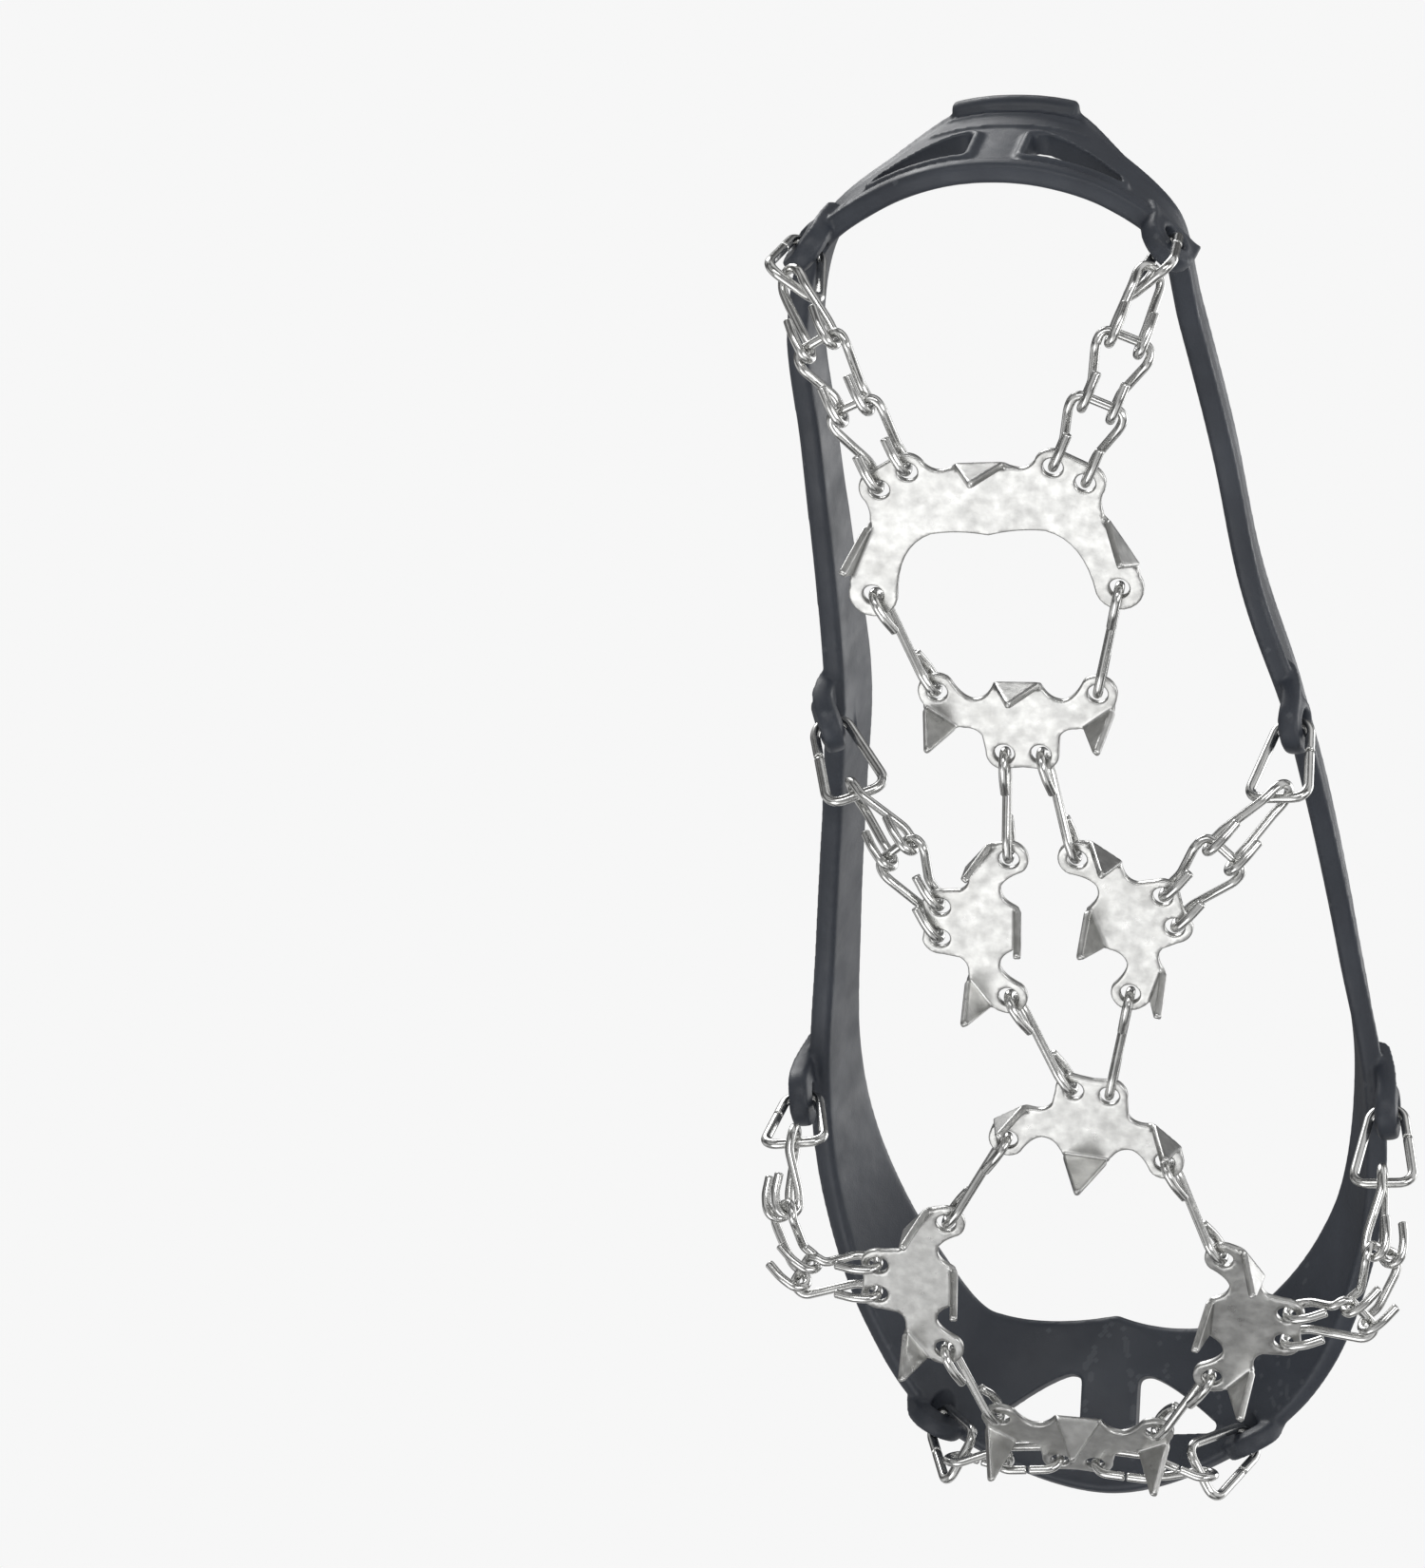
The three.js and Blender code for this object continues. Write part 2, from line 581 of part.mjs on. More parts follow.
const outlineCurve = new THREE.CatmullRomCurve3(HARNESS.map(([x, y]) => vec(x, y, 0)), true);
const heightCurve = new THREE.CatmullRomCurve3(
  HARNESS.map(([, , low, high, lean]) => vec(low, high, lean)),
  true,
);

// One section of the strap: its eight corners, outer face first, at a place round the outline.
function harnessSection(t) {
  const place = outlineCurve.getPoint(t);
  const tangent = outlineCurve.getTangent(t);
  const inwards = vec(-tangent.y, tangent.x, 0).normalize();
  const { x: low, y: high, z: lean } = heightCurve.getPoint(t);
  const climb = vec(0, 0, Math.cos(rad(lean))).addScaledVector(inwards, Math.sin(rad(lean)));
  const through = climb.clone().cross(tangent).normalize();
  const reach = (height) => (height - HARNESS_REFERENCE) / Math.cos(rad(lean));
  const corner = (height, lift, depth) => along(place, vec(0, 0, 1), HARNESS_REFERENCE, climb,
    reach(height) + lift, through, depth);
  const deep = HARNESS_THICKNESS;
  const edge = HARNESS_EDGE;
  return [
    corner(low, edge, 0),
    corner(high, -edge, 0),
    corner(high, 0, edge),
    corner(high, 0, deep - edge),
    corner(high, -edge, deep),
    corner(low, edge, deep),
    corner(low, 0, deep - edge),
    corner(low, 0, edge),
  ];
}

// The closed band: sections joined all the way round.
function bandGeometry() {
  const positions = [];
  const indices = [];
  for (let i = 0; i < HARNESS_STATIONS; i += 1) {
    for (const corner of harnessSection(i / HARNESS_STATIONS)) positions.push(...corner.toArray());
  }
  const corners = 8;
  for (let i = 0; i < HARNESS_STATIONS; i += 1) {
    const next = (i + 1) % HARNESS_STATIONS;
    for (let j = 0; j < corners; j += 1) {
      const above = (j + 1) % corners;
      const a = i * corners + j;
      const b = next * corners + j;
      const c = next * corners + above;
      const d = i * corners + above;
      indices.push(a, b, c, a, c, d);
    }
  }
  const geometry = new THREE.BufferGeometry();
  geometry.setAttribute('position', new THREE.Float32BufferAttribute(positions, 3));
  geometry.setIndex(indices);
  return geometry;
}

// A lug bends from the lean of the strap at its root to the direction of its ring at the hole. At
// a height above the hole this gives the middle of the lug and its directions.
function lugFrame({ lug, outwards, bar }, height, reach, lean) {
  const bend = THREE.MathUtils.clamp(height / reach, 0, 1);
  const out = outwards.clone().normalize();
  const ringUp = lug.clone().sub(bar).normalize();
  const strapUp = vec(0, 0, Math.cos(lean)).addScaledVector(out, -Math.sin(lean));
  const up = ringUp.clone().lerp(strapUp, bend).normalize();
  const through = squareTo(out, up);
  const sideways = up.clone().cross(through);
  const middle = along(lug, ringUp, height * (1 - bend), strapUp, height * bend);
  return new THREE.Matrix4().makeBasis(sideways, up, through).setPosition(middle);
}

// A tongue that hangs from the strap and narrows to a round end below the hole.
function tongueGeometry(hanger, reach, lean, root) {
  const shape = new THREE.Shape();
  shape.moveTo(-root, reach);
  shape.quadraticCurveTo(-LUG_RADIUS - 0.4, reach * 0.7, -LUG_RADIUS, 0);
  shape.absarc(0, 0, LUG_RADIUS, Math.PI, 2 * Math.PI, false);
  shape.quadraticCurveTo(LUG_RADIUS + 0.4, reach * 0.7, root, reach);
  const settings = { depth: LUG_THICKNESS, bevelEnabled: false, curveSegments: 4 };
  const geometry = new THREE.ExtrudeGeometry(shape, settings);
  const positions = geometry.attributes.position;
  for (let i = 0; i < positions.count; i += 1) {
    const height = positions.getY(i);
    const point = vec(positions.getX(i), 0, positions.getZ(i) - LUG_THICKNESS / 2);
    point.applyMatrix4(lugFrame(hanger, height, reach, lean));
    positions.setXYZ(i, point.x, point.y, point.z);
  }
  return geometry;
}

function roundBar(radius, length, sides) {
  return new THREE.CylinderGeometry(radius, radius, length, sides).rotateX(Math.PI / 2);
}

// One lug with its raised boss, and the bar that cuts its hole.
function lugSolids(hanger, reach, lean, root) {
  const atHole = lugFrame(hanger, 0, reach, lean);
  const tongue = toSolid(tongueGeometry(hanger, reach, lean, root));
  const boss = toSolid(roundBar(BOSS_RADIUS, BOSS_THICKNESS, 12).applyMatrix4(atHole));
  const hole = toSolid(roundBar(LUG_HOLE_RADIUS, 4 * BOSS_THICKNESS, 10).applyMatrix4(atHole));
  return { body: tongue.add(boss), hole };
}

// The cutter for a window: a rounded triangle in x and z, narrowing away from the middle.
function windowCutter(side, { inner, outer, low, high, depth }) {
  const shape = new THREE.Shape();
  const sharp = 1.6;
  shape.moveTo(side * (inner + 1.5), low);
  shape.quadraticCurveTo(side * inner, low, side * inner, low + sharp);
  shape.lineTo(side * inner, high - sharp);
  shape.quadraticCurveTo(side * inner, high, side * (inner + 2.4), high);
  shape.quadraticCurveTo(side * (inner + 7), high - 1.2, side * (outer - 1), low + 2.6);
  shape.quadraticCurveTo(side * (outer + 0.6), low + 0.4, side * (outer - 2.4), low);
  const geometry = new THREE.ExtrudeGeometry(shape, { depth, bevelEnabled: false, curveSegments: 3 });
  return geometry.translate(0, 0, -depth / 2).rotateX(Math.PI / 2);
}

const HEEL_WINDOW = { inner: 6, outer: 25, low: 37.5, high: 49, depth: 26 };
const TOE_WINDOW = { inner: 6, outer: 24, low: -6, high: 6.5, depth: 26 };

function windowSolids() {
  const cutters = [];
  for (const [, side] of SIDES) {
    const heel = windowCutter(side, HEEL_WINDOW).translate(0, -163, 0);
    const toe = windowCutter(side, TOE_WINDOW).rotateX(rad(46)).translate(0, 126, 41.5);
    cutters.push(toSolid(heel), toSolid(toe));
  }
  return cutters;
}

const LUG_HEIGHT = { heel: 8, arch: 10, fore: 12, toe: 7 };
const LUG_LEAN = { heel: 8, arch: 12, fore: 15, toe: 24 };
const LUG_ROOT = { heel: 7.8, arch: 10.5, fore: 10.5, toe: 10.5 }; // half widths at the strap

function harnessMesh() {
  let solid = toSolid(bandGeometry());
  const hangers = { ...HANGERS, ...TOE_HANGERS };
  const lugs = Object.entries(hangers).map(([name, hanger]) => {
    const [end] = name.split('_');
    return lugSolids(hanger, LUG_HEIGHT[end], rad(LUG_LEAN[end]), LUG_ROOT[end]);
  });
  for (const { body } of lugs) solid = solid.add(body);
  for (const { hole } of lugs) solid = solid.subtract(hole);
  for (const cutter of windowSolids()) solid = solid.subtract(cutter);
  return namedMesh('harness', toGeometry(solid), rubber());
}

// ---- the whole cleat --------------------------------------------------------------------------

const cleat = new THREE.Group();
cleat.add(harnessMesh());
cleat.add(...plateMeshes());
cleat.add(...sLinkMeshes());
cleat.add(...hangerMeshes());
cleat.add(...toeHangerMeshes());

export default cleat;
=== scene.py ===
"""Looks of an ice cleat: a soft rubber harness, polished wire rings and links, and satin steel
spike plates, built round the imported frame. Metres, same axes as the frame."""

import json
import math

import bmesh
import bpy
import numpy as np
from mathutils import Matrix, Vector
from mathutils.geometry import delaunay_2d_cdt


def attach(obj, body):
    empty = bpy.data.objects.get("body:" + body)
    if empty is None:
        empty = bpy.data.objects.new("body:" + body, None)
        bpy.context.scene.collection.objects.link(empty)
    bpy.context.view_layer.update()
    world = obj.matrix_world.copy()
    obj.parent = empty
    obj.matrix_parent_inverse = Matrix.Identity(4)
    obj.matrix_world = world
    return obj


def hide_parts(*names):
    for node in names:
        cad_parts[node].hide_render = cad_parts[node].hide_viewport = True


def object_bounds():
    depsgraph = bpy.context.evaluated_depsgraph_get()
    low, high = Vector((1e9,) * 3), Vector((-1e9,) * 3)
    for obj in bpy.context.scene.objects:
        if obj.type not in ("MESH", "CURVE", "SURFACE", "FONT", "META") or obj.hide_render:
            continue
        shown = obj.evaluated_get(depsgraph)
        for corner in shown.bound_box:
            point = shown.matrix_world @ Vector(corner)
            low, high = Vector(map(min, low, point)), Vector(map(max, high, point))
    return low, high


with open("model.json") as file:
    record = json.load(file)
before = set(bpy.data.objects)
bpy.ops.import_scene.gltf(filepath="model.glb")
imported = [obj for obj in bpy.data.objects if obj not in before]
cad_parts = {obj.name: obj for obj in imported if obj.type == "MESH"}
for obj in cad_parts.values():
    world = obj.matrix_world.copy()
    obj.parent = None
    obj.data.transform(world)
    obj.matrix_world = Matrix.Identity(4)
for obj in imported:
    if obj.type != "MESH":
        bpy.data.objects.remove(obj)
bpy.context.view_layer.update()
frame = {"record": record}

MM = 0.001

# ---- driving dimensions, millimetres ------------------------------------------------------------

PLATE_THICKNESS = 1.5
PLATE_DEPTH = 3.6
HOLE_RADIUS = 2.0
WIRE_RADIUS = 1.0
RING_WIRE_RADIUS = 1.1
HOOK_RADIUS = 2.5
OVAL_RADIUS = 2.9

SMALL_END = (16, 0)
SMALL_PAIR = (3.65, 13.8)
HEEL_INNER = (14.4, -3)
HEEL_OUTER = (20.4, 0.7)
HEEL_FOOT = (24.5, 24)

SPIKE_HEIGHT = 10.6
SPIKE_TIP = 1.3
SPIKE_SPLAY = 8
BEND_RADIUS = 1.35

LADDER_SHOULDER = 5.4
LADDER_HOOK = 3.0
ARCH_RADIUS = 3.3
HOOK_TAIL = 6.2
TAIL_LIFT = 1.4

RING_FOOT = 6.0
RING_CROWN = 3.8
RING_CORNER = 2.6
RING_RISE = 0.4
RING_CUT = 0.5

ROUND_WIRE = 0.94  # a round wire as thick as the six-sided one of that radius
STRAP_THICKNESS = 4.6
STRAP_REFERENCE = 30
LUG_THICKNESS = 3.8
LUG_RADIUS = 6.2
BOSS_RADIUS = 5.2
BOSS_THICKNESS = 4.4
LUG_HOLE_RADIUS = 2.7
MOULD_VOXEL = 0.42  # the fineness at which the harness's parts are blended into one moulding

DOWN = Vector((0, 0, -1))
UP = Vector((0, 0, 1))


def rad(degrees):
    return math.radians(degrees)


def along(start, *steps):
    """A point reached from a start by steps of direction, length, direction, length."""
    point = start.copy()
    for direction, length in zip(steps[::2], steps[1::2]):
        point += direction * length
    return point


def square_to(direction, axis):
    """The part of a direction that is square to an axis, at unit length."""
    return (direction - axis * (direction.dot(axis) / axis.dot(axis))).normalized()


# ---- meshes ---------------------------------------------------------------------------------------


def new_object(name, points, faces, material, smooth=True):
    mesh = bpy.data.meshes.new(name)
    mesh.from_pydata([tuple(Vector(p) * MM) for p in points], [], faces)
    mesh.validate()
    bm = bmesh.new()
    bm.from_mesh(mesh)
    bmesh.ops.recalc_face_normals(bm, faces=bm.faces)
    bm.to_mesh(mesh)
    bm.free()
    mesh.materials.append(material)
    obj = bpy.data.objects.new(name, mesh)
    bpy.context.scene.collection.objects.link(obj)
    if smooth:
        mesh.polygons.foreach_set("use_smooth", [True] * len(mesh.polygons))
        mesh.update()
    return obj


def arc(centre, first, towards, radius, start, end, steps=14):
    points = []
    for i in range(steps + 1):
        angle = rad(start + (end - start) * i / steps)
        points.append(along(centre, first, radius * math.cos(angle), towards, radius * math.sin(angle)))
    return points


def fair(points, reach=0.9, steps=5):
    """The polyline with each corner rounded, by at most the given reach along its two sides."""
    out = [points[0]]
    for before, here, after in zip(points, points[1:], points[2:]):
        back, ahead = before - here, after - here
        if back.length < 1e-6 or ahead.length < 1e-6:
            continue
        if back.normalized().dot(ahead.normalized()) < -0.995:
            out.append(here)
            continue
        cut_back = back.normalized() * min(reach, back.length * 0.48)
        cut_ahead = ahead.normalized() * min(reach, ahead.length * 0.48)
        for i in range(steps + 1):
            t = i / steps
            out.append(here + cut_back * (1 - t) ** 2 + cut_ahead * t**2)
    out.append(points[-1])
    return out


def even(points, spacing):
    """The polyline with its points spread evenly at about the given spacing."""
    lengths = [0.0]
    for a, b in zip(points, points[1:]):
        lengths.append(lengths[-1] + (b - a).length)
    count = max(8, round(lengths[-1] / spacing))
    out, index = [], 0
    for i in range(count + 1):
        target = lengths[-1] * i / count
        while index < len(points) - 2 and lengths[index + 1] < target:
            index += 1
        span = max(lengths[index + 1] - lengths[index], 1e-9)
        out.append(points[index].lerp(points[index + 1], (target - lengths[index]) / span))
    return out


def relax(points, passes=2):
    """Slightly smoothed, ends kept, as cold-bent wire has no kinks."""
    for _ in range(passes):
        points = (
            [points[0]]
            + [(a + b * 2 + c) / 4 for a, b, c in zip(points, points[1:], points[2:])]
            + [points[-1]]
        )
    return points


def tube(points, radius, sides=16, closed=False, chamfer=0.18):
    """Points and faces of a round wire along a path, with cut and slightly broken ends."""
    count = len(points)
    tangents = []
    for i in range(count):
        before = points[i - 1] if i > 0 or closed else points[0]
        after = points[(i + 1) % count] if i < count - 1 or closed else points[-1]
        tangents.append((after - before).normalized())
    normal = tangents[0].orthogonal().normalized()
    rings = []
    for point, tangent in zip(points, tangents):
        normal = square_to(normal, tangent)
        other = tangent.cross(normal)
        rings.append((point, normal, other, radius, tangent))
    if not closed:
        first, last = rings[0], rings[-1]
        head = (first[0] + first[4] * 0, first[1], first[2], radius - chamfer, first[4])
        rings[0] = (first[0] + first[4] * chamfer, *first[1:])
        tail = (last[0], last[1], last[2], radius - chamfer, last[4])
        rings[-1] = (last[0] - last[4] * chamfer, *last[1:])
        rings = [head, *rings, tail]
    verts = []
    for point, across, other, reach, _ in rings:
        for j in range(sides):
            angle = 2 * math.pi * j / sides
            verts.append(point + across * (reach * math.cos(angle)) + other * (reach * math.sin(angle)))
    faces = []
    total = len(rings)
    for i in range(total if closed else total - 1):
        for j in range(sides):
            k, n = (j + 1) % sides, (i + 1) % total
            faces.append((i * sides + j, i * sides + k, n * sides + k, n * sides + j))
    if not closed:
        faces.append(tuple(reversed(range(sides))))
        faces.append(tuple(range((total - 1) * sides, total * sides)))
    return verts, faces


# ---- materials ------------------------------------------------------------------------------------


MAP_RANGE_SOCKETS = ("From Min", "From Max", "To Min", "To Max")


class Nodes:
    """A node tree being built, with short calls for the nodes that the materials share."""

    def __init__(self, name):
        self.material = bpy.data.materials.new(name)
        self.material.use_nodes = True
        self.tree = self.material.node_tree
        self.shader = self.tree.nodes["Principled BSDF"]
        self.place = self.tree.nodes.new("ShaderNodeTexCoord").outputs["Object"]

    def link(self, source, target):
        self.tree.links.new(source, target)

    def noise(self, scale, detail=3.0, roughness=0.55, stretch=None):
        node = self.tree.nodes.new("ShaderNodeTexNoise")
        node.inputs["Scale"].default_value = scale
        node.inputs["Detail"].default_value = detail
        node.inputs["Roughness"].default_value = roughness
        place = self.place
        if stretch:
            mapping = self.tree.nodes.new("ShaderNodeMapping")
            mapping.inputs["Scale"].default_value = stretch
            self.link(place, mapping.inputs["Vector"])
            place = mapping.outputs["Vector"]
        self.link(place, node.inputs["Vector"])
        return node.outputs["Fac"]

    def spread(self, value, low, high, to_low, to_high):
        node = self.tree.nodes.new("ShaderNodeMapRange")
        for key, number in zip(MAP_RANGE_SOCKETS, (low, high, to_low, to_high)):
            node.inputs[key].default_value = number
        self.link(value, node.inputs["Value"])
        return node.outputs["Result"]

    def blend(self, factor, first, second):
        node = self.tree.nodes.new("ShaderNodeMix")
        node.data_type = "RGBA"
        self.link(factor, node.inputs["Factor"])
        for socket, colour in (("A", first), ("B", second)):
            target = [s for s in node.inputs if s.name == socket and s.type == "RGBA"][0]
            if isinstance(colour, tuple):
                target.default_value = (*colour, 1)
            else:
                self.link(colour, target)
        return [s for s in node.outputs if s.type == "RGBA"][0]

    def bump(self, height, strength, distance, below=None):
        node = self.tree.nodes.new("ShaderNodeBump")
        node.inputs["Strength"].default_value = strength
        node.inputs["Distance"].default_value = distance
        self.link(height, node.inputs["Height"])
        if below:
            self.link(below, node.inputs["Normal"])
        return node.outputs["Normal"]

    def pointiness(self):
        return self.tree.nodes.new("ShaderNodeNewGeometry").outputs["Pointiness"]


def rubber_material():
    n = Nodes("harness_rubber")
    cloud = n.noise(38, 4)
    body = n.blend(n.spread(cloud, 0.35, 0.7, 0, 1), (0.024, 0.028, 0.037), (0.038, 0.044, 0.056))
    worn = n.spread(n.pointiness(), 0.52, 0.58, 0, 0.5)
    colour = n.blend(worn, body, (0.070, 0.077, 0.088))
    n.link(colour, n.shader.inputs["Base Color"])
    n.link(n.spread(n.noise(120, 4), 0.3, 0.7, 0.38, 0.56), n.shader.inputs["Roughness"])
    n.shader.inputs["Specular IOR Level"].default_value = 0.45
    grain = n.bump(n.noise(2600, 2), 0.10, 0.0003)
    waves = n.bump(n.noise(150, 2), 0.12, 0.0011, below=grain)
    n.link(waves, n.shader.inputs["Normal"])
    return n.material


def plate_material():
    n = Nodes("plate_steel")
    mottle = n.noise(420, 4)
    base = n.blend(n.spread(mottle, 0.35, 0.68, 0, 1), (0.50, 0.50, 0.49), (0.66, 0.66, 0.645))
    dull = n.spread(n.noise(90, 3), 0.52, 0.75, 0, 0.45)
    colour = n.blend(dull, base, (0.40, 0.395, 0.38))
    n.link(colour, n.shader.inputs["Base Color"])
    n.shader.inputs["Metallic"].default_value = 1.0
    n.link(n.spread(n.noise(260, 5), 0.3, 0.72, 0.26, 0.42), n.shader.inputs["Roughness"])
    fine = n.bump(n.noise(3800, 2), 0.10, 0.00012)
    dents = n.bump(n.noise(210, 2), 0.16, 0.0003, below=fine)
    n.link(dents, n.shader.inputs["Normal"])
    return n.material


def wire_material():
    n = Nodes("wire_steel")
    base = n.blend(n.spread(n.noise(300, 3), 0.3, 0.7, 0, 1), (0.60, 0.60, 0.59), (0.74, 0.74, 0.725))
    n.link(base, n.shader.inputs["Base Color"])
    n.shader.inputs["Metallic"].default_value = 1.0
    n.link(n.spread(n.noise(700, 4), 0.3, 0.7, 0.12, 0.24), n.shader.inputs["Roughness"])
    n.link(n.bump(n.noise(1700, 3), 0.12, 0.00012), n.shader.inputs["Normal"])
    return n.material


RUBBER = rubber_material()
PLATE_STEEL = plate_material()
WIRE_STEEL = wire_material()


def body_name(node):
    for body, members in frame["record"]["behaviour"]["bodies"].items():
        if node in members:
            return body
    raise ValueError(node)


def finished(obj, node):
    """The piece rides on its node's body and stands for the node."""
    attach(obj, body_name(node))
    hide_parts(node)


def wire_piece(name, points, radius):
    path = relax(even(fair(points), 0.45))
    verts, faces = tube(path, ROUND_WIRE * radius)
    finished(new_object(name + "_wire", verts, faces, WIRE_STEEL), name)


# ---- plates ---------------------------------------------------------------------------------------


def quadratic(start, control, end, steps=8):
    a, b, c = (np.array(p, float) for p in (start, control, end))
    places = np.linspace(0, 1, steps + 1)[1:]
    return [tuple(a * (1 - t) ** 2 + b * 2 * t * (1 - t) + c * t * t) for t in places]


def round_part(centre, radius, start, end, steps=12):
    angles = np.linspace(rad(start), rad(end), steps + 1)
    return [(centre[0] + radius * math.cos(a), centre[1] + radius * math.sin(a)) for a in angles]


class Tab:
    """A spike: a pointed tab of the flat sheet, bent down about a line. Root is the middle of the
    plate's edge there and outwards the direction that the flat tab points in."""

    def __init__(self, root, outwards, width):
        self.root = np.array(root, float)
        self.out = np.array(outwards, float) / np.linalg.norm(outwards)
        self.side = np.array([self.out[1], -self.out[0]])
        self.width = width
        turn = rad(90 - SPIKE_SPLAY)
        self.turn = turn
        drop = BEND_RADIUS * (1 - math.cos(turn))
        lean = math.tan(rad(SPIKE_SPLAY))
        self.start = -0.1 * PLATE_THICKNESS + drop * lean - BEND_RADIUS * math.sin(turn)
        self.arc = BEND_RADIUS * turn
        depth = SPIKE_HEIGHT + PLATE_THICKNESS / 2 - drop
        self.end = self.start + self.arc + depth / math.cos(rad(SPIKE_SPLAY))

    def outline(self):
        """The flat tab's edge from its right root round the tip to its left root, out then back."""
        shoulder = self.start + self.arc + 0.4
        half, tip = self.width / 2, SPIKE_TIP / 2
        waist = half - 0.15
        neck = self.end - 0.5
        profile = [(half, 0.0), (half, shoulder * 0.5), (waist, shoulder)]
        for t in np.linspace(0.1, 0.9, 9):
            profile.append((waist + (tip - waist) * t, shoulder + (neck - shoulder) * t))
        profile += [(tip, neck), (tip * 0.62, self.end - 0.12), (0.0, self.end)]
        left = [(-x, y) for x, y in profile[-2::-1]]
        return [tuple(self.root + self.side * x + self.out * y) for x, y in profile + left]

    def reach(self, p):
        """How far past the bend's start a flat point is, and how fully it takes the bend."""
        offset = p - self.root
        past = float(offset @ self.out) - self.start
        aside = abs(float(offset @ self.side)) - self.width / 2
        hold = 1.0 if aside <= 0.05 else max(0.0, 1 - (aside - 0.05) / 1.6)
        return past, hold

    def bent(self, p):
        """The middle surface at a flat point, and its normal, or None away from the bend."""
        past, hold = self.reach(p)
        if past <= 0 or hold <= 0 or past > self.end - self.start + 1:
            return None
        angle = hold * (past / BEND_RADIUS if past < self.arc else self.turn)
        bend = angle if past < self.arc else self.turn
        run = BEND_RADIUS * math.sin(bend)
        drop = BEND_RADIUS * (1 - math.cos(bend))
        rest = max(0.0, past - self.arc)
        out = self.start + run + rest * math.cos(self.turn)
        down = drop + rest * math.sin(self.turn)
        if hold < 1:
            out = (1 - hold) * (past + self.start) + hold * out
        aside = float((p - self.root) @ self.side)
        flat = self.root + self.side * aside + self.out * out
        normal = np.array([*(self.out * math.sin(angle)), math.cos(angle)])
        return np.array([flat[0], flat[1], -down]), normal


def small_plate():
    tabs = [Tab((0, -1.9), (0, -1), 8.8)]
    tabs += [Tab((side * 15.95, 6.1), (side * 0.6, 0.8), 7.3) for side in (1, -1)]
    rear, right = tabs[0].outline(), tabs[1].outline()
    middle = len(rear) // 2
    half = [p for p in rear if p[0] >= -1e-6][: middle + 1]
    half = sorted(half, key=lambda p: p[1])
    points = half + [(4.75, -1.85)]
    points += quadratic((4.75, -1.85), (6.2, 1.9), (9.2, 1.7))
    points += quadratic((9.2, 1.7), (11.4, 1.0), (13.2, -2.6))
    points += round_part(SMALL_END, 3.9, -137, 10)[1:]
    points += [(19.05, 3.7)] + right + [(12.8, 8.35)]
    points += quadratic((12.9, 8.4), (9.2, 7.4), (7.8, 9.8))
    points += [(7.35, 13.2)] + round_part(SMALL_PAIR, 3.7, -5, 78) + [(2.2, 17.1), (0, 16.9)]
    return points, tabs, [SMALL_END, SMALL_PAIR]


def heel_plate():
    tabs = [Tab((0, -4.0), (0, -1), 9.4)]
    tabs += [Tab((side * 26.25, 14), (side * 0.9, -0.44), 11.0) for side in (1, -1)]
    rear, right = tabs[0].outline(), tabs[1].outline()
    half = sorted([p for p in rear if p[0] >= -1e-6], key=lambda p: p[1])
    points = half + [(5.0, -3.95)]
    points += quadratic((5.0, -3.95), (8.4, -1.6), (10.9, -4.4))
    points += round_part(HEEL_INNER, 3.8, -160, -55)[1:]
    points += round_part(HEEL_OUTER, 4.1, -75, 40)
    points += quadratic(points[-1], (22.4, 6.4), (23.6, 8.6))
    points += right + [(28.85, 19.35)]
    points += round_part(HEEL_FOOT, 4.9, -28, 165)
    points += quadratic(points[-1], (18.6, 13.4), (11.4, 11.0))
    points += quadratic((11.4, 11.0), (6.0, 10.2), (0, 11.6))
    return points, tabs, [HEEL_INNER, HEEL_OUTER, HEEL_FOOT]


def clean(points, gap=0.12):
    """The closed outline without points that nearly repeat."""
    out = []
    for p in points:
        if not out or math.dist(p, out[-1]) > gap:
            out.append((float(p[0]), float(p[1])))
    while math.dist(out[0], out[-1]) < gap:
        out.pop()
    return out


def densify(points, spacing):
    out = []
    for a, b in zip(points, points[1:] + points[:1]):
        count = max(1, math.ceil(math.dist(a, b) / spacing))
        run = b[0] - a[0], b[1] - a[1]
        out += [(a[0] + run[0] * i / count, a[1] + run[1] * i / count) for i in range(count)]
    return out


def inside(p, loop):
    hit = False
    x, y = p
    for (x1, y1), (x2, y2) in zip(loop, loop[1:] + loop[:1]):
        if (y1 > y) != (y2 > y) and x < (x2 - x1) * (y - y1) / (y2 - y1) + x1:
            hit = not hit
    return hit


def mirrored(half):
    right = [p for p in half if p[0] > 1e-3]
    ends = [p for p in half if p[0] <= 1e-3]
    left = [(-x, y) for x, y in reversed(right)]
    return [ends[0]] + right + [ends[-1]] + left


RIM_SPACING = 0.55  # between points on a sheet's rims, and between the points inside it
SHEET_STEP = 0.72
RIM_CLEARANCE = 0.45


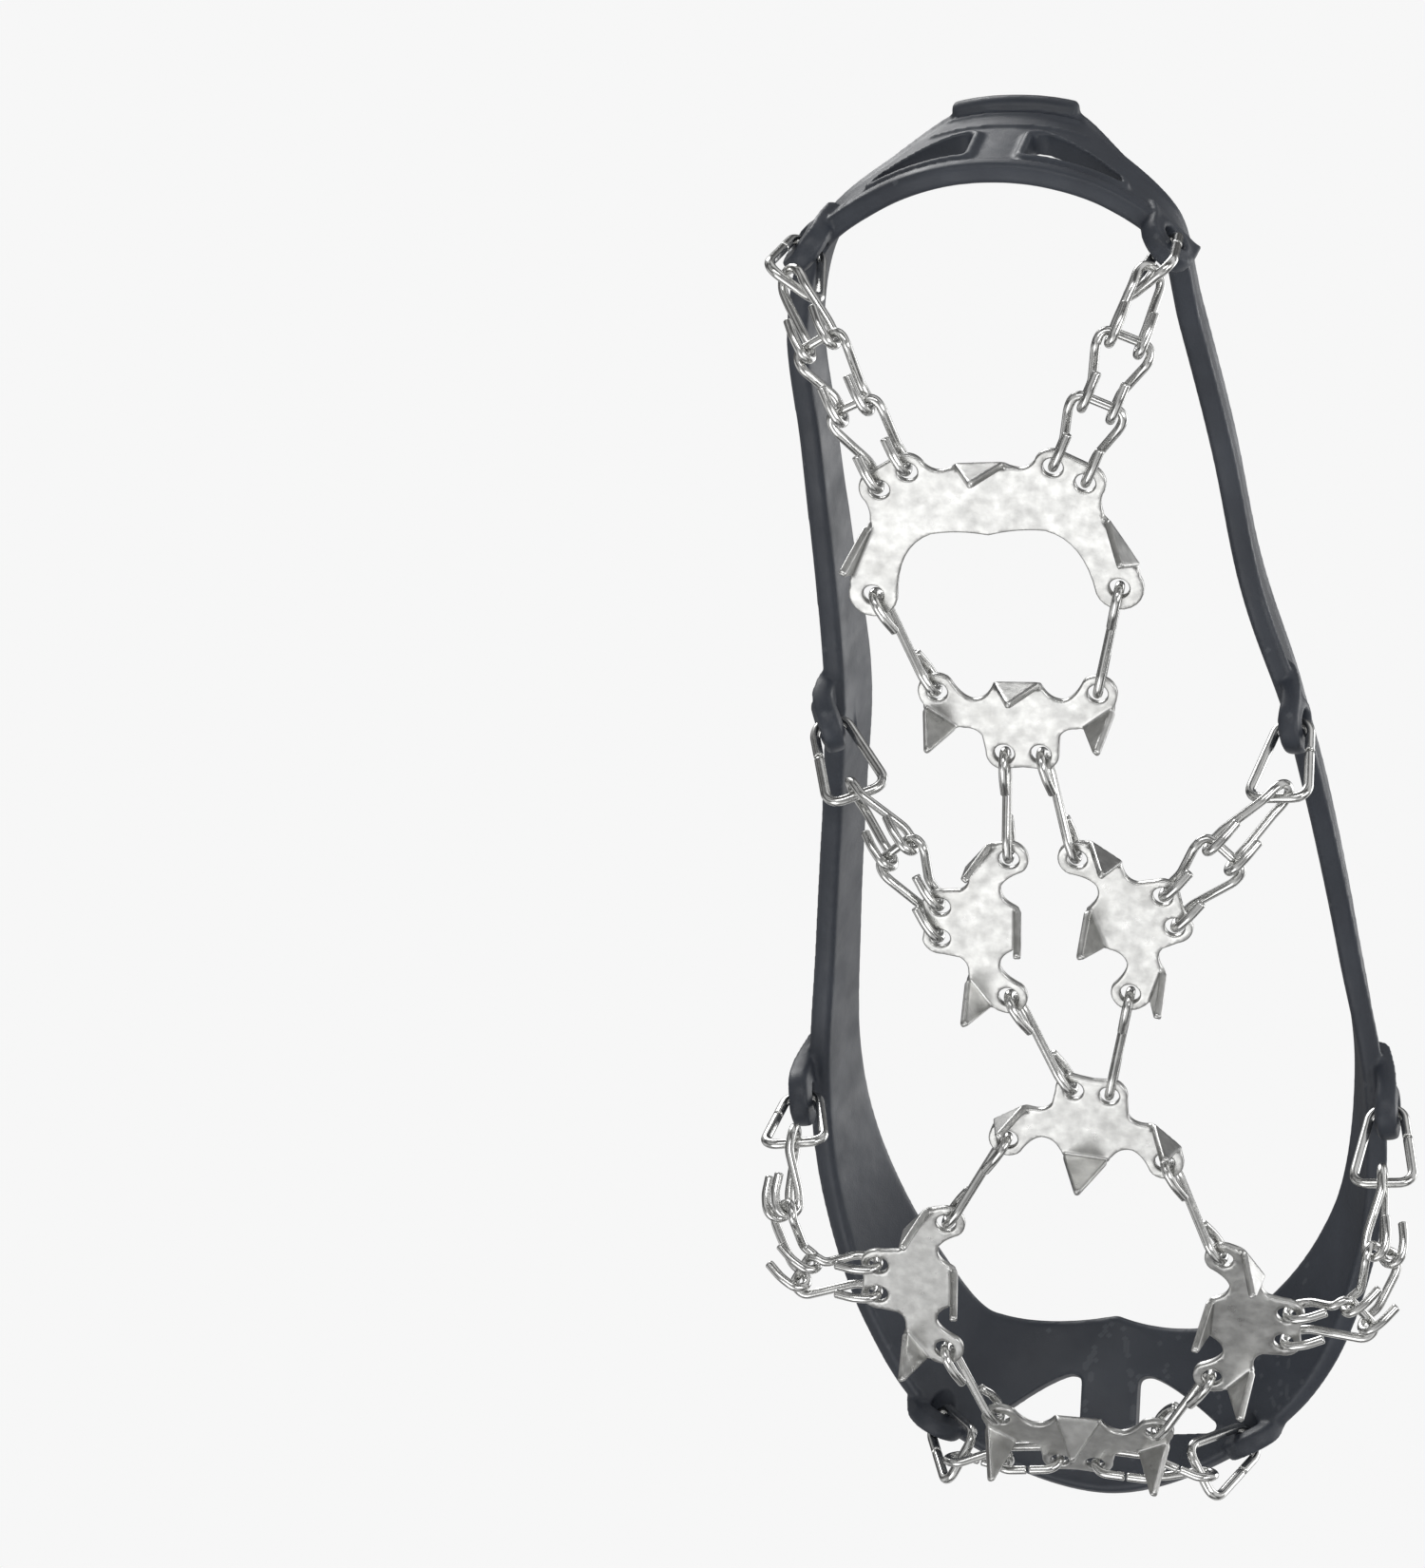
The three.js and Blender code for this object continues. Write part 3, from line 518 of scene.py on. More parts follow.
def plate_sheet(half, tabs, holes):
    """Points and faces of a plate with its tabs bent down, in the plate's own frame."""
    outline = densify(clean(mirrored(half)), RIM_SPACING)
    loops = [outline]
    for hole in holes:
        for side in (-1, 1):
            centre = (side * hole[0], hole[1])
            loops.append(list(reversed(round_part(centre, HOLE_RADIUS, 0, 360, 28)[:-1])))
    coords, edges = [], []
    for loop in loops:
        first = len(coords)
        coords += loop
        edges += [(first + i, first + (i + 1) % len(loop)) for i in range(len(loop))]
    border = np.array(coords)
    low, high = border.min(0), border.max(0)
    grid, step = [], SHEET_STEP
    for row, y in enumerate(np.arange(low[1], high[1], step * 0.87)):
        for x in np.arange(low[0] + (row % 2) * step / 2, high[0], step):
            clear = np.min((border[:, 0] - x) ** 2 + (border[:, 1] - y) ** 2) > RIM_CLEARANCE**2
            if clear and inside((x, y), outline) and not any(inside((x, y), loop) for loop in loops[1:]):
                grid.append((float(x), float(y)))
    found = delaunay_2d_cdt([Vector(p) for p in coords + grid], edges, [], 1, 1e-5)
    points2d = [np.array(p[:]) for p in found[0]]
    triangles = []
    for face in found[2]:
        middle = sum(points2d[i] for i in face) / len(face)
        if inside(tuple(middle), outline) and all(not inside(tuple(middle), loop) for loop in loops[1:]):
            triangles.append(tuple(face))
    # The direction out of the sheet, in the flat, at each point of its rims.
    outward = {}
    links = {}
    edge_use = {}
    for face in triangles:
        for a, b in zip(face, face[1:] + face[:1]):
            edge_use.setdefault(frozenset((a, b)), []).append((a, b))
    rim = [uses[0] for uses in edge_use.values() if len(uses) == 1]
    for a, b in rim:
        links.setdefault(a, []).append((a, b))
        links.setdefault(b, []).append((a, b))
    for index, pairs in links.items():
        total = np.zeros(2)
        for a, b in pairs:
            run = points2d[b] - points2d[a]
            run = run / max(np.linalg.norm(run), 1e-9)
            total += np.array([run[1], -run[0]])
        outward[index] = total / max(np.linalg.norm(total), 1e-9)
    flip = triangles and np.cross(
        points2d[triangles[0][1]] - points2d[triangles[0][0]],
        points2d[triangles[0][2]] - points2d[triangles[0][0]],
    ) < 0
    if flip:
        outward = {k: -v for k, v in outward.items()}

    def lifted(p, offset):
        for tab in tabs:
            got = tab.bent(p)
            if got is not None:
                return got[0] + got[1] * offset
        return np.array([p[0], p[1], offset])

    half_t, edge = PLATE_THICKNESS / 2, 0.34
    profile = [(edge, half_t), (edge * 0.38, half_t - edge * 0.38 * 0.6), (0.0, half_t - edge)]
    profile += [(inset, -height) for inset, height in reversed(profile)]
    verts, faces = [], []
    top, bottom, chain = {}, {}, {}
    for i, p in enumerate(points2d):
        if i in outward:
            chain[i] = []
            for inset, height in profile:
                chain[i].append(len(verts))
                verts.append(lifted(p - outward[i] * inset, height))
            top[i], bottom[i] = chain[i][0], chain[i][-1]
        else:
            top[i] = len(verts)
            verts.append(lifted(p, half_t))
            bottom[i] = len(verts)
            verts.append(lifted(p, -half_t))
    for face in triangles:
        faces.append(tuple(top[i] for i in face))
        faces.append(tuple(bottom[i] for i in reversed(face)))
    for a, b in rim:
        for k in range(len(profile) - 1):
            faces.append((chain[a][k], chain[a][k + 1], chain[b][k + 1], chain[b][k]))
    return verts, faces


PLATES = {
    "heel_plate": (0, -119.5, 0, -2, 0),
    "arch_plate": (3.2, -72.7, 0, 0.5, 0),
    "ball_plate_left": (-3, -18.8, 0, 95, 0),
    "ball_plate_right": (16.2, -19.4, 0, -105, 0),
    "centre_plate": (8.5, 33.2, 0, 189, 0),
    "side_plate_left": (-23.2, 66.4, 0.3, 96, 4),
    "side_plate_right": (32.2, 73.5, 1.1, -80.5, 8),
    "toe_plate": (-0.5, 105.8, 9.8, 7.5, 23.5),
}


def plate_matrix(name):
    x, y, rise, turn, tilt = PLATES[name]
    moved = Matrix.Translation((x, y, rise - PLATE_DEPTH))
    return moved @ Matrix.Rotation(rad(tilt), 4, "X") @ Matrix.Rotation(rad(turn), 4, "Z")


def hole_of(plate, hole, side):
    """The middle of a hole in a placed plate, and the plate's normal on its spiked side."""
    matrix = plate_matrix(plate)
    return matrix @ Vector((side * hole[0], hole[1], 0)), (matrix.to_3x3() @ DOWN).normalized()


SMALL_SHEET = plate_sheet(*small_plate())
HEEL_SHEET = plate_sheet(*heel_plate())
for plate in PLATES:
    verts, faces = HEEL_SHEET if plate == "heel_plate" else SMALL_SHEET
    matrix = plate_matrix(plate)
    placed = [matrix @ Vector(v) for v in verts]
    finished(new_object(plate + "_sheet", placed, faces, PLATE_STEEL), plate)

# ---- S links --------------------------------------------------------------------------------------

S_LINKS = [
    ("heel_link_left", "heel_plate", HEEL_FOOT, -1, "arch_plate", SMALL_END, -1),
    ("heel_link_right", "heel_plate", HEEL_FOOT, 1, "arch_plate", SMALL_END, 1),
    ("arch_link_left", "arch_plate", SMALL_PAIR, -1, "ball_plate_left", SMALL_END, -1),
    ("arch_link_right", "arch_plate", SMALL_PAIR, 1, "ball_plate_right", SMALL_END, 1),
    ("ball_link_left", "ball_plate_left", SMALL_END, 1, "centre_plate", SMALL_PAIR, 1),
    ("ball_link_right", "ball_plate_right", SMALL_END, -1, "centre_plate", SMALL_PAIR, -1),
    ("centre_link_left", "centre_plate", SMALL_END, 1, "side_plate_left", SMALL_END, -1),
    ("centre_link_right", "centre_plate", SMALL_END, -1, "side_plate_right", SMALL_END, 1),
    ("side_link_left", "side_plate_left", SMALL_END, 1, "toe_plate", SMALL_END, -1),
    ("side_link_right", "side_plate_right", SMALL_END, -1, "toe_plate", SMALL_END, 1),
]


def s_link_points(first, second):
    chord = (second[0] - first[0]).normalized()

    def hook(hole, inwards, ground):
        middle = along(hole, inwards, HOOK_RADIUS)
        return [
            along(middle, inwards, HOOK_TAIL, ground, TAIL_LIFT),
            along(middle, inwards, HOOK_RADIUS, ground, HOOK_RADIUS),
            *arc(middle, ground, -inwards, HOOK_RADIUS, 0, 180),
            along(middle, inwards, HOOK_RADIUS, ground, -HOOK_RADIUS),
        ]

    near = hook(first[0], square_to(chord, first[1]), first[1])
    far = hook(second[0], -square_to(chord, second[1]), -second[1])
    return near + far[::-1]


for name, plate_a, hole_a, side_a, plate_b, hole_b, side_b in S_LINKS:
    ends = hole_of(plate_a, hole_a, side_a), hole_of(plate_b, hole_b, side_b)
    wire_piece(name, s_link_points(*ends), WIRE_RADIUS)

# ---- hangers --------------------------------------------------------------------------------------


def hanger(lug, outwards, bar, bars, plate, holes):
    return {
        "lug": Vector(lug),
        "outwards": Vector(outwards),
        "bar": Vector(bar),
        "bars": [(Vector(point), Vector(facing)) for point, facing in bars],
        "plate": plate,
        "holes": holes,
    }


PAIR = [(SMALL_PAIR, -1), (SMALL_PAIR, 1)]
HANGERS = {
    "heel_left": hanger(
        (-37, -154, 29.6), (-0.78, -0.63, 0), (-36.6, -155.4, 10.4),
        [((-30.8, -148.2, 0.6), (-0.3, -0.5, -0.8)), ((-24.7, -135.6, -2.4), (0, 0, -1))],
        "heel_plate", [(HEEL_INNER, -1), (HEEL_OUTER, -1)],
    ),
    "heel_right": hanger(
        (34.2, -154.3, 29.6), (0.78, -0.63, 0), (33.4, -155.8, 10.4),
        [((30.4, -148.9, 0.6), (0.3, -0.5, -0.8)), ((24.5, -136.3, -2.4), (0, 0, -1))],
        "heel_plate", [(HEEL_OUTER, 1), (HEEL_INNER, 1)],
    ),
    "arch_left": hanger(
        (-42, -48.5, 26), (-1, 0.02, 0), (-33.8, -41.4, 9.4),
        [((-25, -35, -0.8), (-0.2, -0.2, -0.95))],
        "ball_plate_left", PAIR,
    ),
    "arch_right": hanger(
        (52.6, -49, 26), (0.99, -0.14, 0), (51, -42.4, 7.8),
        [((41.5, -35, -1), (0.2, -0.2, -0.95))],
        "ball_plate_right", PAIR,
    ),
    "fore_left": hanger(
        (-57, 44, 32.5), (-1, 0.05, 0), (-55.5, 43.2, 13.1),
        [((-56.8, 52, 3.4), (-0.8, 0, -0.6)), ((-53, 63.8, -2.4), (-0.35, 0, -0.94))],
        "side_plate_left", PAIR,
    ),
    "fore_right": hanger(
        (63.8, 47, 35.2), (1, 0.02, 0), (64.8, 53, 16.8),
        [((65.8, 61.8, 5.8), (0.8, 0, -0.6)), ((61.8, 72.4, -1.6), (0.35, 0, -0.94))],
        "side_plate_right", PAIR[::-1],
    ),
    "toe_left": hanger(
        (-34.5, 119.5, 27.5), (-0.6, 0.8, 0), (-26.6, 118, 10.2), [], "toe_plate", [(SMALL_PAIR, -1)],
    ),
    "toe_right": hanger(
        (31.5, 123, 27.5), (0.56, 0.83, 0), (23.4, 120.4, 10.2), [], "toe_plate", [(SMALL_PAIR, 1)],
    ),
}


def ring_points(h):
    up = (h["lug"] - h["bar"]).normalized()
    across = square_to(h["outwards"], up)
    height = (h["lug"] - h["bar"]).length
    crown = along(h["lug"], up, RING_RISE - RING_CROWN)

    def corner(side):
        return along(h["bar"], side, RING_FOOT - RING_CORNER, up, RING_CORNER)

    shoulder = along(crown, across, RING_CROWN)
    foot = along(h["bar"], across, RING_FOOT, up, RING_CORNER)
    cut = shoulder.lerp(foot, 0.3)
    return [
        cut,
        *arc(crown, across, up, RING_CROWN, 0, 180),
        *arc(corner(-across), -across, up, RING_CORNER, 0, -90, 8),
        *arc(corner(across), across, up, RING_CORNER, -90, 0, 8),
        cut.lerp(foot, 2 * RING_CUT / height),
    ]


def hook_points(middle, direction, outer):
    return [
        along(middle, direction, -HOOK_RADIUS, outer, -HOOK_RADIUS),
        *arc(middle, -outer, direction, HOOK_RADIUS, 0, 180),
        along(middle, direction, -HOOK_RADIUS, outer, HOOK_RADIUS),
        along(middle, direction, -HOOK_TAIL, outer, TAIL_LIFT),
    ]


def both_hooks(end):
    return [hook_points(middle, end["run"], end["outer"]) for middle in end["middles"]]


def ladder_points(start, end):
    left, right = both_hooks(end)

    def leg(side):
        reach = side * LADDER_SHOULDER
        return [
            along(start["centre"], start["across"], reach, start["run"], 3.4),
            along(start["centre"], start["across"], reach, start["run"], 1.2),
            along(start["centre"], start["across"], side * (LADDER_SHOULDER - 1.2)),
        ]

    return left[::-1] + leg(-1) + leg(1)[::-1] + right


def arch_points(start, end):
    direction = (end["centre"] - start["centre"]).normalized()
    left, right = both_hooks(end)
    straddle = direction.cross(start["bar_direction"]).normalized()
    if straddle.dot(end["middles"][1] - end["middles"][0]) < 0:
        straddle.negate()

    def lower(side):
        return along(start["centre"], side, ARCH_RADIUS, direction, 2.4)

    return [
        *left[::-1],
        lower(-straddle),
        *arc(start["centre"], -straddle, -direction, ARCH_RADIUS, 0, 180),
        lower(straddle),
        *right,
    ]


def strand_stops(h):
    holes = [hole_of(h["plate"], hole, side) for hole, side in h["holes"]]
    hole_middle = (holes[0][0] + holes[1][0]) / 2
    middles = [h["bar"], *(point for point, _ in h["bars"]), hole_middle]
    up = (h["lug"] - h["bar"]).normalized()
    stops = [{"centre": h["bar"], "bar_direction": square_to(h["outwards"], up)}]
    for index, (point, facing) in enumerate(h["bars"]):
        run = (middles[index + 2] - middles[index]).normalized()
        outer = square_to(facing, run)
        across = outer.cross(run).normalized()
        hooked = [along(point, across, side * LADDER_HOOK) for side in (-1, 1)]
        stops.append({"centre": point, "across": across, "outer": outer, "run": run, "middles": hooked})
    run = square_to(hole_middle - middles[-2], holes[0][1])
    hooked = [along(point, run, -HOOK_RADIUS) for point, _ in holes]
    if stops[-1]["across"].dot(hooked[1] - hooked[0]) < 0:
        hooked.reverse()
    stops.append({"centre": hole_middle, "outer": holes[0][1], "run": run, "middles": hooked})
    return stops


def loop_points(first, first_side, second, second_side):
    run = (second - first).normalized()
    side_a, side_b = square_to(first_side, run), square_to(second_side, run)
    near, far = along(first, side_a, OVAL_RADIUS), along(second, side_b, OVAL_RADIUS)
    half_cut = 0.5 * RING_CUT / (second - first).length
    return [
        near.lerp(far, 0.5 - half_cut),
        *arc(first, side_a, -run, OVAL_RADIUS, 0, 180),
        *arc(second, side_b, run, OVAL_RADIUS, 180, 0),
        near.lerp(far, 0.5 + half_cut),
    ]


for place, h in HANGERS.items():
    end, side = place.split("_")
    wire_piece(f"{end}_ring_{side}", ring_points(h), RING_WIRE_RADIUS)
    if end == "toe":
        hole, ground = hole_of("toe_plate", *h["holes"][0])
        run = (h["bar"] - hole).normalized()
        reach = ((h["bar"] - hole).length - 2 * OVAL_RADIUS) / 2
        level = square_to(ground.cross(run), run)
        ring_up = (h["lug"] - h["bar"]).normalized()
        far_side = square_to(square_to(h["outwards"], ring_up), run).cross(run)
        inner_ends = [along(hole, run, length) for length in (OVAL_RADIUS, OVAL_RADIUS + reach)]
        inner = loop_points(inner_ends[0], ground, inner_ends[1], ground)
        outer = loop_points(along(hole, run, 2 * OVAL_RADIUS + reach), level, h["bar"], far_side)
        wire_piece(f"toe_oval_{side}_1", outer, WIRE_RADIUS)
        wire_piece(f"toe_oval_{side}_2", inner, WIRE_RADIUS)
        continue
    stops = strand_stops(h)
    for i in range(1, len(stops)):
        make = arch_points if i == 1 else ladder_points
        wire_piece(f"{end}_chain_{side}_{i}", make(stops[i - 1], stops[i]), WIRE_RADIUS)

# ---- rubber harness -------------------------------------------------------------------------------

# Round the shoe from the back of the heel: x, y, low edge, high edge, inward lean in degrees.
STRAP = [
    (0, -171, 32, 66.5, 6),
    (12, -169.6, 32, 66, 6),
    (25, -164.5, 32, 52.5, 7),
    (36, -155.5, 31, 46, 8),
    (39.5, -134, 34, 46.5, 7),
    (43.8, -105, 35.5, 48, 7),
    (47.6, -74, 34.5, 48.5, 8),
    (54.4, -49, 30, 47.5, 12),
    (58, -20, 39, 54, 10),
    (62, 15, 43, 58, 11),
    (65.8, 47, 40, 57, 15),
    (62, 84, 37, 55, 22),
    (50, 108, 31, 52, 30),
    (33.2, 125, 29.5, 51, 38),
    (0, 136, 28, 54, 46),
    (-36, 121.5, 29.5, 51, 38),
    (-50, 98, 31, 52, 30),
    (-58, 72, 35, 54, 22),
    (-58.9, 44, 37.5, 54.5, 15),
    (-56, 14, 40, 55, 14),
    (-50, -20, 37, 52, 13),
    (-44, -48.5, 30, 46.5, 12),
    (-45, -78, 34.5, 47.5, 11),
    (-45.5, -106, 35.5, 47, 10),
    (-45, -134, 34, 46.5, 9),
    (-37.6, -155, 31, 46, 8),
    (-25, -164.5, 32, 52.5, 7),
    (-12, -169.6, 32, 66, 6),
]


def spline(rows, t):
    """The closed centripetal spline through the rows, at t from 0 to 1."""
    count = len(rows)
    place = (t % 1.0) * count
    i, u = int(place), place - int(place)
    p = [np.array(rows[(i + k - 1) % count], float) for k in range(4)]
    gaps = [max(np.sum((b - a) ** 2) ** 0.25, 1e-4) for a, b in zip(p, p[1:])]
    slopes = [(b - a) / gap for a, b, gap in zip(p, p[1:], gaps)]
    t1 = (slopes[0] - (p[2] - p[0]) / (gaps[0] + gaps[1]) + slopes[1]) * gaps[1]
    t2 = (slopes[1] - (p[3] - p[1]) / (gaps[1] + gaps[2]) + slopes[2]) * gaps[1]
    c2 = -3 * p[1] + 3 * p[2] - 2 * t1 - t2
    c3 = 2 * p[1] - 2 * p[2] + t1 + t2
    return p[1] + t1 * u + c2 * u * u + c3 * u**3


OUTLINE = [row[:2] for row in STRAP]
HEIGHTS = [row[2:] for row in STRAP]


def strap_frame(t):
    """Place at the reference height, climb, inward direction, lean factor, low and high edges."""
    x, y = spline(OUTLINE, t)
    ahead = spline(OUTLINE, t + 1e-4) - spline(OUTLINE, t - 1e-4)
    tangent = Vector((ahead[0], ahead[1], 0)).normalized()
    inwards = Vector((-tangent.y, tangent.x, 0))
    low, high, lean = spline(HEIGHTS, t)
    climb = UP * math.cos(rad(lean)) + inwards * math.sin(rad(lean))
    return Vector((x, y, STRAP_REFERENCE)), climb, climb.cross(tangent), math.cos(rad(lean)), low, high


STRAP_STEPS = 520
STRAP_FRAMES = [strap_frame(i / STRAP_STEPS) for i in range(STRAP_STEPS)]


def strap_section(height):
    """Corners of the strap's section as height and depth: edge beads with a sunk face between."""
    thick, sunk = STRAP_THICKNESS, 0.55
    lower = [(0.0, 1.2), (0.3, 0.42), (0.95, 0.02), (1.7, 0.06), (2.35, sunk * 0.8), (3.0, sunk)]
    upper = [(height - u, d) for u, d in reversed(lower)]
    inner = [(height, thick - 1.2), (height - 0.35, thick - 0.35), (height - 1.2, thick)]
    back = [(1.2, thick), (0.35, thick - 0.35), (0.0, thick - 1.2)]
    return lower + [(height / 2, sunk)] + upper + inner + [(height / 2, thick)] + back


def strap_band():
    stations = STRAP_STEPS
    verts, faces = [], []
    for place, climb, through, lean, low, high in STRAP_FRAMES:
        section = strap_section((high - low) / lean)
        for u, depth in section:
            verts.append(along(place, climb, (low - STRAP_REFERENCE) / lean + u, through, depth))
    corners = len(section)
    for i in range(stations):
        n = (i + 1) % stations
        for j in range(corners):
            k = (j + 1) % corners
            faces.append((i * corners + j, n * corners + j, n * corners + k, i * corners + k))
    return verts, faces


def lug_frame(h, height, reach, lean):
    bend = min(max(height / reach, 0), 1)
    out = h["outwards"].normalized()
    ring_up = (h["lug"] - h["bar"]).normalized()
    strap_up = UP * math.cos(lean) - out * math.sin(lean)
    up = ring_up.lerp(strap_up, bend).normalized()
    through = square_to(out, up)
    sideways = up.cross(through)
    middle = along(h["lug"], ring_up, height * (1 - bend), strap_up, height * bend)
    return Matrix((sideways, up, through)).transposed().to_4x4(), middle


def on_lug(h, reach, lean, x, y, z):
    turn, middle = lug_frame(h, y, reach, lean)
    return turn @ Vector((x, 0, z)) + middle


def lug_outline(reach, root, inset=0.0):
    """Right half of a tongue, from its root to the bottom of its round end."""
    root, tip = root - inset, LUG_RADIUS - inset
    edge = quadratic((root, reach), (tip + 0.4, reach * 0.7), (tip, 0), 10)
    edge = [(root, reach)] + edge
    edge += [(tip * math.cos(a), tip * math.sin(a)) for a in np.linspace(0, -math.pi / 2, 10)[1:]]
    return edge


def lug_tongue(h, reach, lean, root):
    """A tongue with rounded edges, as a stack of outlines through its thickness."""
    verts, faces = [], []
    half = LUG_THICKNESS / 2
    layers = [(0.9, -half), (0.25, -half + 0.3), (0, -half + 0.95)]
    layers += [(inset, -z) for inset, z in reversed(layers)]
    for inset, z in layers:
        right = lug_outline(reach, root, inset)
        loop = right + [(-x, y) for x, y in right[-2::-1]]
        verts += [on_lug(h, reach, lean, x, y, z) for x, y in loop]
    size = len(loop)
    for i in range(len(layers) - 1):
        for j in range(size):
            k = (j + 1) % size
            faces.append((i * size + j, i * size + k, (i + 1) * size + k, (i + 1) * size + j))
    half_size = size // 2
    for start, turn in ((0, 1), ((len(layers) - 1) * size, -1)):
        for j in range(half_size):
            quad = (start + j, start + j + 1, start + size - 2 - j, start + size - 1 - j)
            if len(set(quad)) == 4:
                faces.append(quad[::turn])
            elif len(set(quad)) == 3:
                faces.append(tuple(dict.fromkeys(quad))[::turn])
    return verts, faces


def disc(radius, length, turn, middle, sides=36, rounding=0.6):
    """A round boss with rounded rims, along the frame's third axis."""
    verts, faces = [], []
    half = length / 2
    layers = [(radius - rounding, -half), (radius, -half + rounding)]
    layers += [(radius, half - rounding), (radius - rounding, half)]
    for reach, z in layers:
        for j in range(sides):
            angle = 2 * math.pi * j / sides
            verts.append(turn @ Vector((reach * math.cos(angle), reach * math.sin(angle), z)) + middle)
    for i in range(len(layers) - 1):
        for j in range(sides):
            k = (j + 1) % sides
            faces.append((i * sides + j, i * sides + k, (i + 1) * sides + k, (i + 1) * sides + j))
    faces.append(tuple(reversed(range(sides))))
    faces.append(tuple(range(3 * sides, 4 * sides)))
    return verts, faces


def window_outline(side, inner, outer, low, high, grow=0.0):
    """A rounded triangle, tall beside the middle and narrowing outwards."""
    i, o, b, t = inner - grow, outer + grow, low - grow, high + grow
    points = [(i + 1.5, b)]
    points += quadratic((i + 1.5, b), (i, b), (i, b + 1.6), 5)
    points += [(i, t - 1.6)]
    points += quadratic((i, t - 1.6), (i, t), (i + 2.4, t), 6)
    points += quadratic((i + 2.4, t), (i + 7, t - 1.2), (o - 1, b + 2.6), 14)
    points += quadratic((o - 1, b + 2.6), (o + 0.6, b + 0.4), (o - 2.4, b), 6)
    return [(side * x, y) for x, y in points]


def prism(outline, depth, turn, middle):
    count = len(outline)
    verts = [turn @ Vector((x, y, z)) + middle for z in (-depth / 2, depth / 2) for x, y in outline]
    faces = [tuple(range(count)), tuple(reversed(range(count, 2 * count)))]
    for j in range(count):
        k = (j + 1) % count
        faces.append((j, k, count + k, count + j))
    return verts, faces


# Heel windows face backwards; toe windows lie in the band that slopes over the toes.
BACKWARDS = Matrix(((1, 0, 0), (0, 0, 1), (0, 1, 0))).transposed().to_4x4()
HEEL_WINDOW = (6, 25, 37.5, 49)
TOE_WINDOW = (6, 24, -6, 6.5)
TOE_SLOPE = Matrix.Rotation(rad(46), 4, "X")
HEEL_WINDOW_MIDDLE = Vector((0, -163, 0))
TOE_WINDOW_MIDDLE = Vector((0, 126, 41.5))
WINDOW_CUT = 26  # depth of the cutters
WINDOW_RIM = 0.95  # radius of the raised rims, set this far outside the windows
LUG_HEIGHT = {"heel": 8, "arch": 10, "fore": 12, "toe": 7}
LUG_LEAN = {"heel": 8, "arch": 12, "fore": 15, "toe": 24}
LUG_ROOT = {"heel": 7.6, "arch": 9.4, "fore": 9.4, "toe": 9.4}


def strap_point(x, z, heel=True, lift=0.0):
    """The strap's outer face at the back (or front) for an x and a height, lifted off the face."""
    middle = 0 if heel else STRAP_STEPS // 2
    row = []
    for i in range(middle - 60, middle + 61):
        place, climb, through, lean, _, _ = STRAP_FRAMES[i % STRAP_STEPS]
        row.append(along(place, climb, (z - STRAP_REFERENCE) / lean, through, 0.35 - lift))
    for a, b in zip(row, row[1:]):
        if (a.x - x) * (b.x - x) <= 0 and a.x != b.x:
            return a.lerp(b, (x - a.x) / (b.x - a.x))
    return min(row, key=lambda point: abs(point.x - x))


def rim_path(outline, heel):
    """A window's outline carried on to the strap's outer face."""
    path = []
    for x, y in even_loop(outline, 0.9):
        if heel:
            path.append(strap_point(x, y))
        else:
            centre = TOE_SLOPE @ Vector((x, 0, y)) + TOE_WINDOW_MIDDLE
            path.append(strap_point(x, centre.z, heel=False))
    return path


def even_loop(outline, spacing):
    points = [Vector((x, y, 0)) for x, y in outline] + [Vector((*outline[0], 0))]
    return [tuple(p[:2]) for p in even(points, spacing)[:-1]]


parts = [strap_band()]
cutters = []
for place, h in HANGERS.items():
    end, _ = place.split("_")
    reach, lean = LUG_HEIGHT[end], rad(LUG_LEAN[end])
    root = LUG_ROOT[end]
    parts.append(lug_tongue(h, reach, lean, root))
    turn, middle = lug_frame(h, 0, reach, lean)
    parts.append(disc(BOSS_RADIUS, BOSS_THICKNESS, turn, middle))
    cutters.append(disc(LUG_HOLE_RADIUS, 4 * BOSS_THICKNESS, turn, middle, 28, 0.01))
    rims = [(LUG_HOLE_RADIUS + 0.75, BOSS_THICKNESS / 2 - 0.2, 0.6)]
    for radius, z, wire in rims:
        for face in (-1, 1):
            ring = [turn @ Vector((radius * math.cos(a), radius * math.sin(a), face * z)) + middle
                    for a in np.linspace(0, 2 * math.pi, 40, endpoint=False)]
            parts.append(tube(ring, wire, 10, closed=True))
    edge = lug_outline(reach, root, 0.75)[1:]
    edge = [(x, y) for x, y in edge] + [(-x, y) for x, y in edge[-2::-1]]
    bead = [on_lug(h, reach, lean, x, y, LUG_THICKNESS / 2 - 0.1) for x, y in edge]
    parts.append(tube(relax(even(bead, 0.8)), 0.55, 10))
for side in (-1, 1):
    outline = window_outline(side, *HEEL_WINDOW)
    cutters.append(prism(outline, WINDOW_CUT, BACKWARDS, HEEL_WINDOW_MIDDLE))
    rim = rim_path(window_outline(side, *HEEL_WINDOW, WINDOW_RIM), True)
    parts.append(tube(rim, WINDOW_RIM, 12, closed=True))
    outline = window_outline(side, *TOE_WINDOW)
    upright = Matrix.Translation(TOE_WINDOW_MIDDLE) @ TOE_SLOPE @ BACKWARDS
    cutters.append(prism(outline, WINDOW_CUT, upright.to_3x3().to_4x4(), upright.translation))
    rim = rim_path(window_outline(side, *TOE_WINDOW, WINDOW_RIM), False)
    parts.append(tube(rim, WINDOW_RIM, 12, closed=True))

# The heel tab's thick lip, and the fine ridge under it.
lip = [strap_point(x, 63.6, lift=0.35) for x in np.linspace(-12.5, 12.5, 26)]
parts.append(tube(lip, 2.3, 16, chamfer=0.9))
ridge = [strap_point(x, 60.2) for x in np.linspace(-13.2, 13.2, 28)]
parts.append(tube(ridge, 0.5, 10))
for level, reach in ((53.6, 15.5), (34.3, 30)):
    bead = [strap_point(x, level) for x in np.linspace(-reach, reach, 60)]
    parts.append(tube(relax(bead, 3), 0.6, 10))


